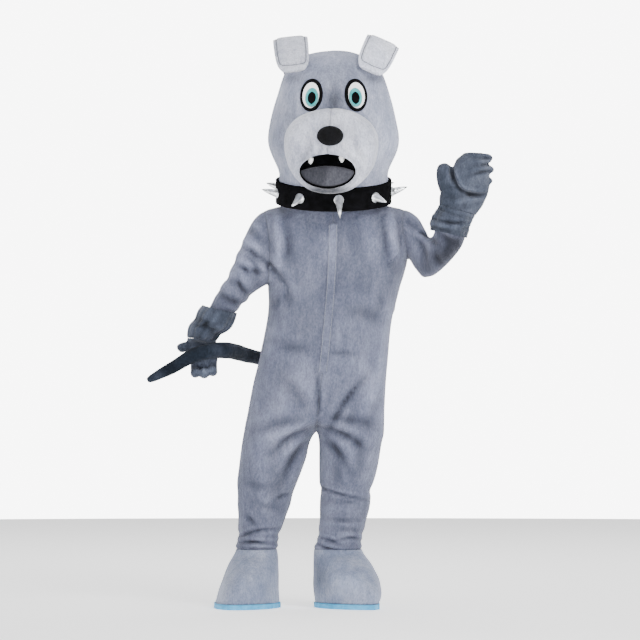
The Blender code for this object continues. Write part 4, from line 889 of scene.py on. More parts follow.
def gather_cuff(side):
    """Uneven gathers round a cuff, and the dip where an elastic draws it in."""
    made = cuffs[side]
    x0, y0, h0, x1, y1, h1 = CUFF_AXES[side]
    start = np.array((x0, y0, h0 + FLOOR))
    run = np.array((x1, y1, h1 + FLOOR)) - start
    length = np.linalg.norm(run)
    axis = run / length
    first = unit(np.cross(axis, (0.0, 1.0, 0.0)))
    second = np.cross(axis, first)
    points = mesh_points(made)
    facing = outward(points, mesh_normals(made), (CUFF_AXES[side],))
    offset = points - start
    t = offset @ axis / length
    t = (t - t.min()) / (t.max() - t.min())
    angle = np.arctan2(offset @ second, offset @ first)
    wave = np.sin(GATHERS * angle + 1.6 * np.sin(2 * angle + side) + 1.2 * np.sin(3 * angle) + 1.5 * t)
    wave *= 0.65 + 0.35 * np.sin(4 * angle + 1.0)
    middle = np.sin(math.pi * np.clip(t, 0, 1)) ** 0.7
    rise = GATHER_DEPTH[side] * wave * middle + fold_height(points, facing, CUFF_FOLDS[side])
    band = 0.55 + 0.05 * np.sin(2 * angle + 0.5)
    for share, place, width in ((-1.0, 0.0, 0.085), (0.5, 0.20, 0.09), (0.5, -0.22, 0.10)):
        rise += share * ELASTIC_DEPTH[side] * np.exp(-((t - band - place) / width) ** 2)
    rise *= np.clip(middle * 3, 0, 1)
    set_points(made, points + facing * rise[:, None])
    # kept for painted shade in the gathers and painted highlights on their crests
    RISES[made.name] = rise


for side in (RIGHT, LEFT):
    gather_cuff(side)

# %% [markdown]
# ## Shoes
# The plush covers are loose over the wearer's own shoes and glued to a thick foam sole. They get a dent across
# the instep and soft swells.

# %% Shoes
SHOE_LINES = {RIGHT: ((-0.285, 0.0, 0.16, -0.300, -0.08, 0.05),), LEFT: ((0.025, 0.0, 0.16, 0.038, -0.08, 0.05),)}
SHOE_FOLDS = {
    RIGHT: (
        # side, x0, height0, x1, height1, bow, width, depth
        ("front", -350, 150, -230, 146, -10, 12, -4),
        ("front", -360, 120, -320, 50, 6, 12, -3),
        ("front", -240, 110, -215, 50, 6, 12, -3),
    ),
    LEFT: (
        # side, x0, height0, x1, height1, bow, width, depth
        ("front", -50, 150, 80, 152, -10, 12, -4),
        ("front", -50, 110, -40, 50, 6, 12, -3),
        ("front", 100, 125, 130, 60, 6, 12, -3.5),
    ),
}
SOLE_TOP = 0.019
SHOE_TOP = 0.203
covers = {}
soles = {}
for side in (RIGHT, LEFT):
    covers[side] = dressed_copy(f"shoe_cloth_{NAMES[side]}", [f"shoe_cover_{NAMES[side]}"])
    heights = mesh_points(covers[side])[:, 2]
    free = fade(heights, FLOOR + SOLE_TOP, 0.012) * fade(heights, FLOOR + SHOE_TOP, -0.012)
    lift(covers[side], SHOE_LINES[side], SHOE_FOLDS[side], height=0.0014, pace=1.8, hold=free)
    soles[side] = dressed_copy(f"sole_foam_{NAMES[side]}", [f"shoe_sole_{NAMES[side]}"])

# %% [markdown]
# ## Placket
# The zip is hidden under a flat strip of the suit's own plush, stitched down along both edges.

# %% Placket
placket = dressed_copy("placket_cloth", ["front_placket"])

# %% [markdown]
# ## More sewn lines
# Some lines aren't joints between two panels: the topstitching on both edges of the placket, the round border
# on each ear, pressed in before its thread is laid, and the edge where the muzzle is sewn to the face.

# %% Lines that are drawn one by one
EAR_BORDER = 0.011
EAR_SECTIONS = (
    # y, height over the ear's place, half width
    (0.026, 0.0560, 0.057),
    (0.000, 0.0670, 0.060),
    (-0.040, 0.0630, 0.061),
    (-0.080, 0.0360, 0.061),
    (-0.116, 0.0000, 0.060),
    (-0.143, -0.0345, 0.047),
)
EARS = {
    # side: x, height, turn about the front axis in degrees
    RIGHT: (-0.1500, 1.9250, 6.0),
    LEFT: (0.1430, 1.9200, 24.0),
}
PLACKET_EDGE = 0.0125
STRIP_STEP = 0.006


def ear_border(side):
    """A closed line inside the edge of an ear's front flap."""
    x, height, turn = EARS[side]
    turn = math.radians(turn) * side
    centres = np.array([(0.0, y, h) for y, h, _ in EAR_SECTIONS])
    tangents = np.gradient(centres, axis=0)
    tangents /= np.linalg.norm(tangents, axis=1)[:, None]
    outs = np.cross(tangents, (1.0, 0.0, 0.0))
    outs *= np.where(outs[:, 2] < 0, -1, 1)[:, None]
    path, normals = [], []
    down = range(1, len(EAR_SECTIONS))
    for way, order in ((1, down), (-1, reversed(down))):
        for number in order:
            half = EAR_SECTIONS[number][2] - EAR_BORDER
            path.append(centres[number] + (way * half, 0.0, 0.0))
            normals.append(outs[number])
    for share, drop in ((0.5, 0.006), (0.0, 0.008), (-0.5, 0.008)):
        path.append(centres[1] - (EAR_SECTIONS[1][2] * share, 0.0, 0.0) - tangents[1] * drop)
        normals.append(outs[1])
    path.append(path[0])
    normals.append(normals[0])
    path, normals = np.array(path), np.array(normals)
    for rows in (path, normals):
        old = rows.copy()
        rows[:, 0] = old[:, 0] * math.cos(turn) + old[:, 2] * math.sin(turn)
        rows[:, 2] = -old[:, 0] * math.sin(turn) + old[:, 2] * math.cos(turn)
    path += (x, 0.0, height + FLOOR)
    line, places = smooth_line(path)
    return lay_on(ears[side], line, rows_at(normals, places))


for side, ear in ears.items():
    points = mesh_points(ear)
    # the pressed line's depth is also kept for painted shade along it
    RISES[ear.name] = valley(points, ear_border(side), depth=0.0030, width=0.0045)
    set_points(ear, points + mesh_normals(ear) * RISES[ear.name][:, None])
    LINES.append(("ear", ear_border(side)))


def strip_edges(made, inset):
    """Two lines along a narrow upright strip, each a little inside its edge."""
    points = mesh_points(made)
    heights = np.arange(points[:, 2].min() + 0.008, points[:, 2].max() - 0.006, STRIP_STEP)
    sides = [[], []]
    for height in heights:
        near_by = points[np.abs(points[:, 2] - height) < 0.012]
        middle = (near_by[:, 0].min() + near_by[:, 0].max()) / 2
        for number, way in enumerate((-1, 1)):
            sides[number].append((middle + way * inset, near_by[:, 1].min() - 0.004, height))
    return [np.array(side) for side in sides]


for line in strip_edges(placket, PLACKET_EDGE):
    LINES.append(("placket", lay_on(placket, line, np.tile((0.0, -1.0, 0.0), (len(line), 1)))))


FACE_TOUCH = 0.0008
MUZZLE_MIDDLE = (-0.014, 0.190)
PLACES_PER_RADIAN = 60
EDGE_SPACING = 0.008


def muzzle_edge():
    """The line where the muzzle meets the face, in order round it."""
    tree = node_tree("face")
    found = {}
    for node in ("muzzle_right", "muzzle_left"):
        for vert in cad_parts[node].data.vertices:
            distance = tree.find_nearest(vert.co)[3]
            if distance < FACE_TOUCH:
                angle = math.atan2(vert.co.x - MUZZLE_MIDDLE[0], vert.co.z - MUZZLE_MIDDLE[1])
                place = round(angle * PLACES_PER_RADIAN)
                if place not in found or vert.co.y < found[place][1]:
                    found[place] = tuple(vert.co)
    ring = np.array([found[place] for place in sorted(found)])
    keep = [0]
    for number in range(1, len(ring)):
        if np.linalg.norm(ring[number] - ring[keep[-1]]) > EDGE_SPACING:
            keep.append(number)
    ring = np.vstack([ring[keep], ring[:1]])
    line, _ = smooth_line(ring)
    return line


LINES.append(("muzzle edge", muzzle_edge()))
print(len(LINES), "sewn lines,", round(sum(np.linalg.norm(np.diff(line, axis=0), axis=1).sum()
                                           for _, line in LINES), 1), "m long")


# %% [markdown]
# ## Plush
# Short-pile plush looks soft for three reasons. Its colour is mottled, because brushed pile lies one way here
# and another way there. It is brighter towards the edge, which the shader's sheen gives. And its surface is
# furry in small, which a fine bump gives. Every number that is the same all over is set on the shader itself.

# %% Materials
WHITE = (1.0, 1.0, 1.0)
PATCHES = (11.0, 5.0, (1.0, 1.0, 0.7))
PILE = (
    # noise scale, detail and stretch down the pile, ramp from, darkest tint, ramp to, bump strength and depth
    (60.0, 3.0, 0.35, 0.30, (0.74, 0.75, 0.77), 0.70, 0.55, 0.0040),
    (190.0, 2.0, 0.50, 0.32, (0.68, 0.69, 0.71), 0.68, 0.65, 0.0030),
    (620.0, 2.0, 0.45, 0.30, (0.70, 0.71, 0.72), 0.70, 0.75, 0.0016),
)


def new_material(name, roughness, metallic=0.0):
    """A material, its node tree, its shader, and the node with the object's own coordinates."""
    made = bpy.data.materials.new(name)
    made.use_nodes = True
    tree = made.node_tree
    shader = tree.nodes["Principled BSDF"]
    shader.inputs["Roughness"].default_value = roughness
    shader.inputs["Metallic"].default_value = metallic
    return made, tree, shader, tree.nodes.new("ShaderNodeTexCoord")


def noise_node(tree, place, scale, detail, stretch=(1.0, 1.0, 1.0)):
    """Noise at one scale in the object's own space, stretched along an axis where the pile is combed."""
    turn = tree.nodes.new("ShaderNodeMapping")
    turn.inputs["Scale"].default_value = stretch
    tree.links.new(place.outputs["Object"], turn.inputs["Vector"])
    made = tree.nodes.new("ShaderNodeTexNoise")
    made.inputs["Scale"].default_value = scale
    made.inputs["Detail"].default_value = detail
    tree.links.new(turn.outputs["Vector"], made.inputs["Vector"])
    return made.outputs["Fac"]


def ramp_node(tree, source, *stops):
    made = tree.nodes.new("ShaderNodeValToRGB")
    tree.links.new(source, made.inputs["Fac"])
    ramp = made.color_ramp
    while len(ramp.elements) < len(stops):
        ramp.elements.new(0.5)
    for element, (place, colour) in zip(ramp.elements, stops):
        element.position = place
        element.color = (*colour, 1.0)
    return made.outputs["Color"]


def multiply_node(tree, first, second):
    made = tree.nodes.new("ShaderNodeMix")
    made.data_type = "RGBA"
    made.blend_type = "MULTIPLY"
    made.inputs[0].default_value = 1.0
    tree.links.new(first, made.inputs[6])
    tree.links.new(second, made.inputs[7])
    return made.outputs[2]


def bump_node(tree, height, strength, depth, under=None):
    made = tree.nodes.new("ShaderNodeBump")
    made.inputs["Strength"].default_value = strength
    made.inputs["Distance"].default_value = depth
    tree.links.new(height, made.inputs["Height"])
    if under:
        tree.links.new(under, made.inputs["Normal"])
    return made.outputs["Normal"]


def plush(name, dark, mid, light, sheen=0.35, nap_and_painted_shade=False):
    """Short-pile plush: patches of brushed pile, then streaks down it, small tufts and fine fibres."""
    made, tree, shader, place = new_material(name, 0.93)
    shader.inputs["Sheen Weight"].default_value = sheen
    shader.inputs["Sheen Roughness"].default_value = 0.45
    shader.inputs["Sheen Tint"].default_value = (*[min(1.0, value * 1.25 + 0.30) for value in light], 1.0)
    shader.inputs["Specular IOR Level"].default_value = 0.12
    colour = ramp_node(tree, noise_node(tree, place, *PATCHES), (0.36, dark), (0.50, mid), (0.64, light))
    normal = None
    for scale, detail, combed, low, tint, high, strength, depth in PILE:
        noise = noise_node(tree, place, scale, detail, (1.0, 1.0, combed))
        colour = multiply_node(tree, colour, ramp_node(tree, noise, (low, tint), (high, WHITE)))
        normal = bump_node(tree, noise, strength, depth, normal)
    if nap_and_painted_shade:
        # with the attribute on, the colour is multiplied by painted shade and painted light, a little of it real nap
        shade = tree.nodes.new("ShaderNodeAttribute")
        shade.attribute_name = "nap_and_painted_shade"
        colour = multiply_node(tree, colour, shade.outputs["Color"])
    tree.links.new(colour, shader.inputs["Base Color"])
    tree.links.new(normal, shader.inputs["Normal"])
    return made


def woven(name, dark, light, roughness, scale=900.0, sheen=0.2, specular=0.3):
    """Plain woven cloth or felt: a little unevenness, and a fine grain for the threads."""
    made, tree, shader, place = new_material(name, roughness)
    shader.inputs["Sheen Weight"].default_value = sheen
    shader.inputs["Specular IOR Level"].default_value = specular
    mottle = ramp_node(tree, noise_node(tree, place, 40.0, 4.0), (0.30, dark), (0.70, light))
    grain = noise_node(tree, place, scale, 2.0)
    threads = ramp_node(tree, grain, (0.30, (0.80, 0.80, 0.80)), (0.70, WHITE))
    tree.links.new(multiply_node(tree, mottle, threads), shader.inputs["Base Color"])
    tree.links.new(bump_node(tree, grain, 0.5, 0.0008), shader.inputs["Normal"])
    return made


def coated(name):
    """Silver-coated cloth on the spikes: bright, a little creased, with worn streaks."""
    made, tree, shader, place = new_material(name, 0.30, 0.85)
    wear = noise_node(tree, place, 70.0, 4.0)
    colour = ramp_node(tree, wear, (0.30, (0.50, 0.52, 0.54)), (0.65, (0.86, 0.88, 0.90)))
    tree.links.new(colour, shader.inputs["Base Color"])
    rough = tree.nodes.new("ShaderNodeMapRange")
    rough.inputs["To Min"].default_value = 0.22
    rough.inputs["To Max"].default_value = 0.45
    tree.links.new(wear, rough.inputs["Value"])
    tree.links.new(rough.outputs["Result"], shader.inputs["Roughness"])
    crinkle = noise_node(tree, place, 180.0, 2.0)
    tree.links.new(bump_node(tree, crinkle, 0.25, 0.001), shader.inputs["Normal"])
    return made


def foam(name, dark, light):
    """Soft foam rubber: matt, with fine pores."""
    made, tree, shader, place = new_material(name, 0.75)
    colour = ramp_node(tree, noise_node(tree, place, 30.0, 3.0), (0.30, dark), (0.70, light))
    tree.links.new(colour, shader.inputs["Base Color"])
    pores = tree.nodes.new("ShaderNodeTexVoronoi")
    pores.inputs["Scale"].default_value = 700.0
    tree.links.new(place.outputs["Object"], pores.inputs["Vector"])
    tree.links.new(bump_node(tree, pores.outputs["Distance"], 0.3, 0.0006), shader.inputs["Normal"])
    return made


# these five plushes carry the attribute's painted shade and painted light
grey = plush("grey_plush_nap_and_shade", (0.135, 0.146, 0.210), (0.170, 0.183, 0.257), (0.215, 0.228, 0.312),
             nap_and_painted_shade=True)
head_grey = plush("head_plush_nap_and_shade", (0.270, 0.292, 0.385), (0.335, 0.356, 0.455), (0.410, 0.430, 0.530),
                  nap_and_painted_shade=True)
pale = plush("pale_plush_nap_and_shade", (0.560, 0.575, 0.675), (0.640, 0.652, 0.745), (0.720, 0.728, 0.810),
             nap_and_painted_shade=True)
shoe_grey = plush("shoe_plush_nap_and_shade", (0.260, 0.300, 0.430), (0.335, 0.375, 0.510), (0.430, 0.465, 0.595),
                  nap_and_painted_shade=True)
dark_plush = plush("dark_plush_nap_and_shade", (0.036, 0.044, 0.062), (0.058, 0.068, 0.094), (0.090, 0.102, 0.136), 0.25,
                   nap_and_painted_shade=True)
tail_plush = plush("tail_plush_nap", (0.006, 0.010, 0.017), (0.014, 0.020, 0.031), (0.032, 0.040, 0.058), 0.08)
black = woven("black_cloth_weave", (0.002, 0.002, 0.002), (0.005, 0.005, 0.006), 1.0, sheen=0.0,
              specular=0.02)
nose_black = plush("nose_plush_nap", (0.002, 0.002, 0.002), (0.004, 0.004, 0.005), (0.007, 0.007, 0.008), 0.0)
tongue_grey = plush("tongue_plush_nap", (0.035, 0.036, 0.044), (0.054, 0.054, 0.065), (0.080, 0.080, 0.094), 0.10)
white = woven("white_felt_fibres", (0.78, 0.78, 0.78), (0.90, 0.90, 0.90), 0.75, 500.0)
teal = woven("teal_felt_fibres", (0.020, 0.22, 0.23), (0.06, 0.36, 0.37), 0.80, 500.0, 0.05)
silver = coated("silver_coated_cloth")
blue = foam("blue_sole_foam", (0.03, 0.27, 0.52), (0.10, 0.44, 0.72))
# dark thread for the seams and the ear border: partly the thread's own colour, partly painted shade of the valley it
# lies in
thread_dark_seam_shade = woven("dark_thread_and_seam_shade", (0.05, 0.055, 0.075), (0.09, 0.10, 0.13), 0.8, 1500.0)
thread_grey = woven("grey_thread_twist", (0.16, 0.17, 0.20), (0.26, 0.27, 0.31), 0.8, 1500.0)
print(len(bpy.data.materials), "materials")


# %% [markdown]
# ## Nap, painted shade and painted light
# A colour attribute darkens and lightens the plush. Ovals of the front view, listed in a table, are painted shade on
# the raised forearm, the sleeve undersides, up the sides, low on the legs, under the ears and the mouth and between
# the eyes, and painted light on the upper arms, belly, hips and lower glove. A little of it is the pile's real nap,
# which is darker where it is brushed up. The rise of each point adds painted shade down in folds, seams and pressed
# lines, and a painted highlight on each crest.

# %% Nap, painted shade and painted light attribute
# Painted shade: how much darker per metre of sinking. Painted highlight: the most that a crest gets lighter.
SUIT_SHADE = (75.0, 0.40)
# gloves and cuffs: deeper painted shade, and far stronger painted highlights on the crests
GLOVE_SHADE = (80.0, 1.10)
DARKEST_FOLD_SHADE = -0.75
DARKEST_NAP_AND_SHADE = 0.15


def set_nap_and_painted_shade(made, values):
    layer = made.data.color_attributes.new("nap_and_painted_shade", "FLOAT_COLOR", "POINT")
    colours = np.repeat(values[:, None], 4, axis=1)
    colours[:, 3] = 1.0
    layer.data.foreach_set("color", colours.reshape(-1))


def near(points, oval):
    """1 in the middle of an oval of the front view, 0 outside."""
    x, height, wide, tall = (length / 1000 for length in oval)
    distance = ((points[:, 0] - x) / wide) ** 2 + ((points[:, 2] - height - FLOOR) / tall) ** 2
    return np.exp(-distance)


SHADE_AND_NAP_PATCHES = (
    # piece, then its patches of painted shade and painted light, partly real nap: x, height, half width and half
    # height in mm, darker or lighter
    # the suit: painted shade on the raised forearm, the sleeve undersides, the sides, beside the placket and along
    # the armholes; painted light on the upper arms, belly and hips
    (suit, (
        (350, 1215, 60, 45, -0.42),
        (318, 1180, 50, 40, -0.40),
        (400, 1225, 50, 40, -0.36),
        (418, 1275, 62, 55, -0.72),
        (303, 1338, 32, 34, 0.45),
        (235, 1280, 20, 90, -0.22),
        (200, 1120, 35, 70, -0.25),
        (14, 1295, 12, 90, -0.22),
        (-90, 1330, 50, 50, -0.16),
        (90, 1300, 50, 60, 0.08),
        (-385, 1050, 60, 50, -0.30),
        (-330, 1085, 70, 35, -0.30),
        (-299, 1281, 28, 32, 0.28),
        (-340, 1190, 28, 40, 0.20),
        (-245, 1260, 16, 90, -0.22),
        (158, 870, 26, 100, 0.30),
        (158, 700, 26, 100, 0.34),
        (60, 790, 50, 60, -0.12),
        (-225, 870, 30, 90, 0.18),
        (-120, 760, 50, 100, 0.08),
        (-66, 740, 10, 80, -0.30),
        (-250, 560, 70, 120, 0.10),
        (70, 520, 80, 90, -0.10),
        (30, 330, 70, 60, -0.12),
        (-270, 300, 70, 50, -0.08),
        (105, 1240, 70, 110, -0.26),
        (-110, 1110, 90, 120, -0.14),
        (125, 730, 34, 70, 0.30),
        (-256, 660, 34, 60, 0.24),
        (-256, 445, 60, 70, -0.20),
        (35, 530, 30, 50, 0.20),
    )),
    # painted highlight on the placket's raised strip
    (placket, (
        (-12, 1280, 30, 130, 0.22),
    )),
    # the head: painted shade between the eyes, under the ears, on its left side and on its lower rim by the collar;
    # painted light on its right side
    (head, (
        (-3, 1760, 36, 62, -0.78),
        (-18, 1862, 90, 50, -0.16),
        (-200, 1640, 50, 130, -0.20),
        (-148, 1846, 45, 18, -0.40),
        (134, 1846, 45, 20, -0.45),
        (60, 1868, 40, 35, -0.16),
        (-155, 1715, 28, 50, -0.18),
        (200, 1640, 60, 140, 0.30),
        (-5, 1380, 400, 45, -0.90),
    )),
    # the muzzle: painted shade under the mouth and on its left side, painted light on its right side
    (muzzle, (
        (0, 1580, 260, 160, -0.16),
        (90, 1600, 80, 100, 0.12),
        (-27, 1449, 110, 20, -0.85),
        (-110, 1560, 50, 60, -0.14),
    )),
    # the ears: painted shade on the right one, painted light on the left one
    (ears[RIGHT], (
        (-150, 1900, 120, 100, -0.18),
    )),
    (ears[LEFT], (
        (150, 1900, 120, 100, 0.26),
    )),
    # painted light on the right cuff and the lower right glove
    (cuffs[RIGHT], (
        (-450, 980, 80, 80, 0.22),
    )),
    (cuffs[LEFT], ()),
    (hands[RIGHT], (
        (-455, 840, 50, 45, 1.20),
        (-440, 910, 60, 30, 0.30),
    )),
    (hands[LEFT], ()),
    # the shoes: painted shade and painted light on their sides
    (covers[RIGHT], (
        (-370, 107, 30, 60, -0.16),
        (-285, 165, 60, 20, -0.12),
    )),
    (covers[LEFT], (
        (-52, 107, 32, 70, -0.38),
        (84, 94, 45, 40, 0.16),
        (35, 95, 45, 50, 0.20),
        (10, 170, 60, 20, -0.12),
    )),
)
GLOVES = (*hands.values(), *cuffs.values())
for piece, patches in SHADE_AND_NAP_PATCHES:
    points = mesh_points(piece)
    values = np.ones(len(points)) + 0.05 * swell(points, 0.6)
    for *oval, change in patches:
        values += change * near(points, oval)
    shade, lightest = GLOVE_SHADE if piece in GLOVES else SUIT_SHADE
    # painted shade down in folds, seams and pressed lines, painted highlights on the crests
    if piece.name in RISES:
        values *= 1 + np.clip(shade * RISES[piece.name], DARKEST_FOLD_SHADE, lightest)
    set_nap_and_painted_shade(piece, np.clip(values, DARKEST_NAP_AND_SHADE, 1.4 + lightest))

# %% [markdown]
# ## Dressing the pieces
# Every piece now gets its cloth, and stands for the CAD nodes that it was copied from.

# %% Materials, bodies and stand-ins
def dress(made, cloth, slot, *nodes):
    for number in range(max(1, len(made.data.materials))):
        made.data.materials[number] = cloth
    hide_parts(*nodes)
    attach(made, "root")


dress(suit, grey, "grey_plush", "front_panel_right", "front_panel_left", "back_panel_right", "back_panel_left",
      "sleeve_right", "sleeve_left")
dress(placket, grey, "grey_plush", "front_placket")
dress(head, head_grey, "grey_plush", "face", "head_back_left", "head_back_right", "crown")
dress(muzzle, pale, "pale_plush", "muzzle_right", "muzzle_left")
dress(lining, black, "black_cloth", "mouth_lining")
dress(tongue, tongue_grey, "grey_felt", "tongue")
dress(nose, nose_black, "black_cloth", "nose")
for name, piece in zip(("right", "left"), fangs):
    dress(piece, white, "white_felt", f"fang_{name}")
LAYERS = {"eye_rim": (black, "black_cloth"), "eye_white": (white, "white_felt"), "iris": (teal, "teal_felt"),
          "pupil": (black, "black_cloth")}
for (layer, side), piece in eyes.items():
    dress(piece, *LAYERS[layer], f"{layer}_{NAMES[side]}")
for side in (RIGHT, LEFT):
    dress(ears[side], pale, "pale_plush", f"ear_{NAMES[side]}")
    dress(hands[side], dark_plush, "dark_plush", f"glove_hand_{NAMES[side]}")
    dress(cuffs[side], dark_plush, "dark_plush", f"glove_cuff_{NAMES[side]}")
    dress(covers[side], shoe_grey, "pale_plush", f"shoe_cover_{NAMES[side]}")
    dress(soles[side], blue, "sole_foam", f"shoe_sole_{NAMES[side]}")
dress(tail, tail_plush, "dark_plush", "tail")
dress(collar, black, "black_cloth", "collar_band")
for number, piece in enumerate(spikes, 1):
    dress(piece, silver, "silver_cloth", f"spike_{number}")

# %% [markdown]
# ## Threads
# A seam shows as a thin dark line where the pile parts: a thread whose dark colour is partly its own and partly
# painted shade of the seam's valley. A topstitched line shows as a row of short stitches. One geometry node tree
# makes both: it turns a line into a curve, sweeps a thin thread along it, sets stitches at an even pitch, and makes
# the copies real.

# %% Node tree for threads and stitches
THREAD_INPUTS = (("Thread Radius", 0.0006), ("Pitch", 0.006), ("Stitch Length", 0.004), ("Stitch Radius", 0.0006))
THREAD_NODES = {
    "start": "NodeGroupInput", "end": "NodeGroupOutput", "curve": "GeometryNodeMeshToCurve",
    "circle": "GeometryNodeCurvePrimitiveCircle", "sweep": "GeometryNodeCurveToMesh",
    "places": "GeometryNodeCurveToPoints", "ball": "GeometryNodeMeshUVSphere", "size": "ShaderNodeCombineXYZ",
    "half": "ShaderNodeMath", "along": "FunctionNodeAlignRotationToVector", "copies": "GeometryNodeInstanceOnPoints",
    "real": "GeometryNodeRealizeInstances", "both": "GeometryNodeJoinGeometry", "paint": "GeometryNodeSetMaterial",
}
THREAD_VALUES = (
    ("circle", "Resolution", 6), ("sweep", "Fill Caps", True), ("ball", "Segments", 6), ("ball", "Rings", 4),
    ("ball", "Radius", 1.0), ("half", 1, 0.5),
)
THREAD_LINKS = (
    # from, output, to, input
    ("start", "Geometry", "curve", "Mesh"),
    ("start", "Thread Radius", "circle", "Radius"),
    ("curve", "Curve", "sweep", "Curve"),
    ("circle", "Curve", "sweep", "Profile Curve"),
    ("curve", "Curve", "places", "Curve"),
    ("start", "Pitch", "places", "Length"),
    ("start", "Stitch Length", "half", 0),
    ("start", "Stitch Radius", "size", "X"),
    ("start", "Stitch Radius", "size", "Y"),
    ("half", "Value", "size", "Z"),
    ("places", "Tangent", "along", "Vector"),
    ("places", "Points", "copies", "Points"),
    ("ball", "Mesh", "copies", "Instance"),
    ("along", "Rotation", "copies", "Rotation"),
    ("size", "Vector", "copies", "Scale"),
    ("copies", "Instances", "real", "Geometry"),
    ("sweep", "Mesh", "both", "Geometry"),
    ("real", "Geometry", "both", "Geometry"),
    ("both", "Geometry", "paint", "Geometry"),
    ("start", "Material", "paint", "Material"),
    ("paint", "Geometry", "end", "Geometry"),
)


def thread_tree():
    tree = bpy.data.node_groups.new("sewn_line", "GeometryNodeTree")
    face = tree.interface
    face.new_socket("Geometry", in_out="INPUT", socket_type="NodeSocketGeometry")
    for name, start in THREAD_INPUTS:
        face.new_socket(name, in_out="INPUT", socket_type="NodeSocketFloat").default_value = start
    face.new_socket("Material", in_out="INPUT", socket_type="NodeSocketMaterial")
    face.new_socket("Geometry", in_out="OUTPUT", socket_type="NodeSocketGeometry")
    nodes = {name: tree.nodes.new(kind) for name, kind in THREAD_NODES.items()}
    nodes["places"].mode = "LENGTH"
    nodes["half"].operation = "MULTIPLY"
    nodes["along"].axis = "Z"
    for name, entry, value in THREAD_VALUES:
        nodes[name].inputs[entry].default_value = value
    for source, output, target, entry in THREAD_LINKS:
        tree.links.new(nodes[source].outputs[output], nodes[target].inputs[entry])
    return tree


SEWN_LINE = thread_tree()
SEWN_INPUTS = {item.name: item.identifier for item in SEWN_LINE.interface.items_tree if item.in_out == "INPUT"}
THREADS = (
    # kind, thread radius, pitch, stitch length, stitch radius, material, slot
    # seams: the dark thread is painted shade of the seam's valley
    ("seam", 0.0009, 0.0090, 0.0060, 0.0010, thread_dark_seam_shade, "grey_plush"),
    ("muzzle", 0.0012, 0.0100, 0.0070, 0.0013, thread_grey, "pale_plush"),
    ("muzzle edge", 0.0012, 0.0100, 0.0070, 0.0013, thread_grey, "pale_plush"),
    ("placket", 0.0005, 0.0070, 0.0050, 0.0009, thread_grey, "grey_plush"),
    ("ear", 0.0013, 0.0070, 0.0050, 0.0017, thread_dark_seam_shade, "pale_plush"),
)


def sew(kind, *sizes, thread, slot):
    """All lines of one kind as one mesh of threads."""
    verts, edges = [], []
    for line in (line for name, line in LINES if name == kind):
        edges += [(len(verts) + n, len(verts) + n + 1) for n in range(len(line) - 1)]
        verts += [tuple(point) for point in line]
    mesh = bpy.data.meshes.new("lines")
    mesh.from_pydata(verts, edges, [])
    made = make_object(f"threads_{kind.replace(' ', '_')}", mesh)
    maker = made.modifiers.new("sewn_line", "NODES")
    maker.node_group = SEWN_LINE
    for (name, _), size in zip(THREAD_INPUTS, sizes):
        maker[SEWN_INPUTS[name]] = size
    maker[SEWN_INPUTS["Material"]] = thread
    evaluated(made)
    shade_smooth(made)
    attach(made, "root")
    print(made.name, len(made.data.polygons), "faces")


for *row, thread, slot in THREADS:
    sew(*row, thread=thread, slot=slot)

# %% [markdown]
# ## Cloth
# Each sheet states the size of fabric that it is cut from, and the area of the cut, which is half of the
# shell's surface because a wall has two faces.

# %% Cloth area of each sewn piece
SHEETS = (
    # piece, fabric width, fabric length, how it is held, what it rests on
    (suit, 1.50, 3.60, "hung", ("collar_cloth",)),
    (placket, 0.06, 0.56, "stretched", ("suit_cloth",)),
    (head, 1.50, 0.90, "stretched", ("suit_cloth",)),
    (muzzle, 0.60, 0.45, "stretched", ("head_cloth",)),
    (lining, 0.35, 0.30, "stretched", ("muzzle_cloth",)),
    (collar, 0.12, 1.30, "stretched", ("head_cloth",)),
    (hands[RIGHT], 0.45, 0.30, "stretched", ("cuff_cloth_right",)),
    (hands[LEFT], 0.50, 0.40, "stretched", ("cuff_cloth_left",)),
    (cuffs[RIGHT], 0.50, 0.16, "gathered", ("suit_cloth",)),
    (cuffs[LEFT], 0.50, 0.16, "gathered", ("suit_cloth",)),
    (covers[RIGHT], 0.90, 0.40, "stretched", ("sole_foam_right",)),
    (covers[LEFT], 0.90, 0.40, "stretched", ("sole_foam_left",)),
)
for piece, wide, long, held, rests_on in SHEETS:
    area = sum(polygon.area for polygon in piece.data.polygons) / 2
    share = area / (wide * long)
    print(f"{piece.name}: {area:.3f} m2 of cloth, {share:.2f} of {wide} x {long} m")
    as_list(rests_on)

# %% [markdown]
# ## Floor and light
# A plain white floor, a pale surround that is brightest at eye level and three soft lights, the strongest high on
# the right, give the photograph's even studio look with darker undersides. A fourth whitens the floor behind.

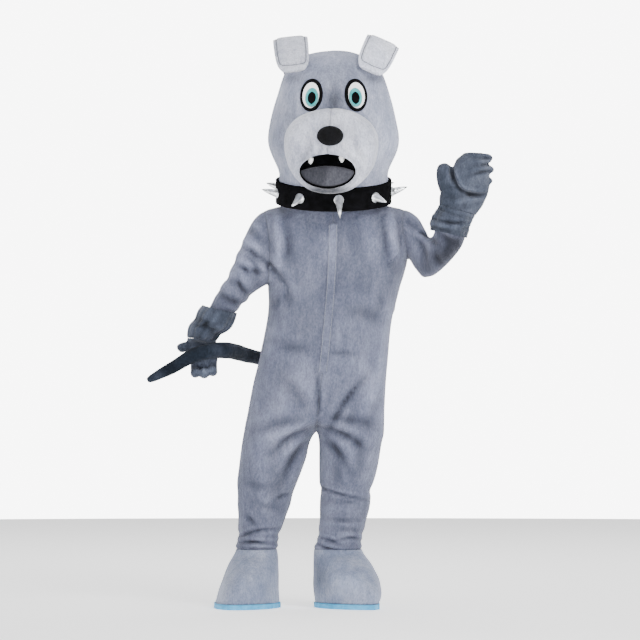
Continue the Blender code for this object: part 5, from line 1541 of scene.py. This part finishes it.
# %% Stage
FLOOR_REACH = 9.0
UNDER_SOLES = 0.0005
floor_data = bpy.data.meshes.new("floor")
floor_shape = bmesh.new()
bmesh.ops.create_circle(floor_shape, cap_ends=True, segments=96, radius=FLOOR_REACH)
bmesh.ops.translate(floor_shape, verts=floor_shape.verts, vec=(0.0, 0.0, FLOOR - UNDER_SOLES))
floor_shape.to_mesh(floor_data)
floor_shape.free()
floor = make_object("floor", floor_data)
paper, _, paper_shader, _ = new_material("white_paper", 0.8)
paper_shader.inputs["Base Color"].default_value = (0.97, 0.97, 0.97, 1.0)
paper_shader.inputs["Emission Color"].default_value = (1.0, 1.0, 1.0, 1.0)
paper_shader.inputs["Emission Strength"].default_value = 1.0
floor.data.materials.append(paper)

LIGHTS = (
    # name, x, y, z, aim x, aim y, aim z, size, power
    ("key", 1.8, -4.2, 2.6, 0.0, 0.0, -0.35, 1.6, 255.0),
    ("fill", -3.4, -4.0, 0.6, 0.0, 0.0, -0.35, 3.0, 32.0),
    ("top", 0.0, -0.4, 3.6, 0.0, 0.0, -0.35, 2.0, 78.0),
    ("floor behind", 0.0, 3.5, 3.5, 0.0, 4.5, -1.4, 4.0, 260.0),
)
for name, x, y, z, aim_x, aim_y, aim_z, size, power in LIGHTS:
    lamp = bpy.data.lights.new(name, "AREA")
    lamp.size = size
    lamp.energy = power
    holder = bpy.data.objects.new(name, lamp)
    holder.location = (x, y, z)
    aim = Vector((aim_x, aim_y, aim_z)) - Vector((x, y, z))
    holder.rotation_euler = aim.to_track_quat("-Z", "Y").to_euler()
    bpy.context.scene.collection.objects.link(holder)
world = bpy.data.worlds.new("studio")
world.use_nodes = True
backing = world.node_tree.nodes["Background"]
backing.inputs["Color"].default_value = (1.0, 1.0, 1.0, 1.0)
sky = world.node_tree
direction = sky.nodes.new("ShaderNodeTexCoord")
split = sky.nodes.new("ShaderNodeSeparateXYZ")
level = sky.nodes.new("ShaderNodeMapRange")
for name, value in (("From Min", 0.07), ("From Max", 0.16), ("To Min", 8.0), ("To Max", 0.05)):
    level.inputs[name].default_value = value
sky.links.new(direction.outputs["Generated"], split.inputs["Vector"])
sky.links.new(split.outputs["Z"], level.inputs["Value"])
sky.links.new(level.outputs["Result"], backing.inputs["Strength"])
bpy.context.scene.world = world
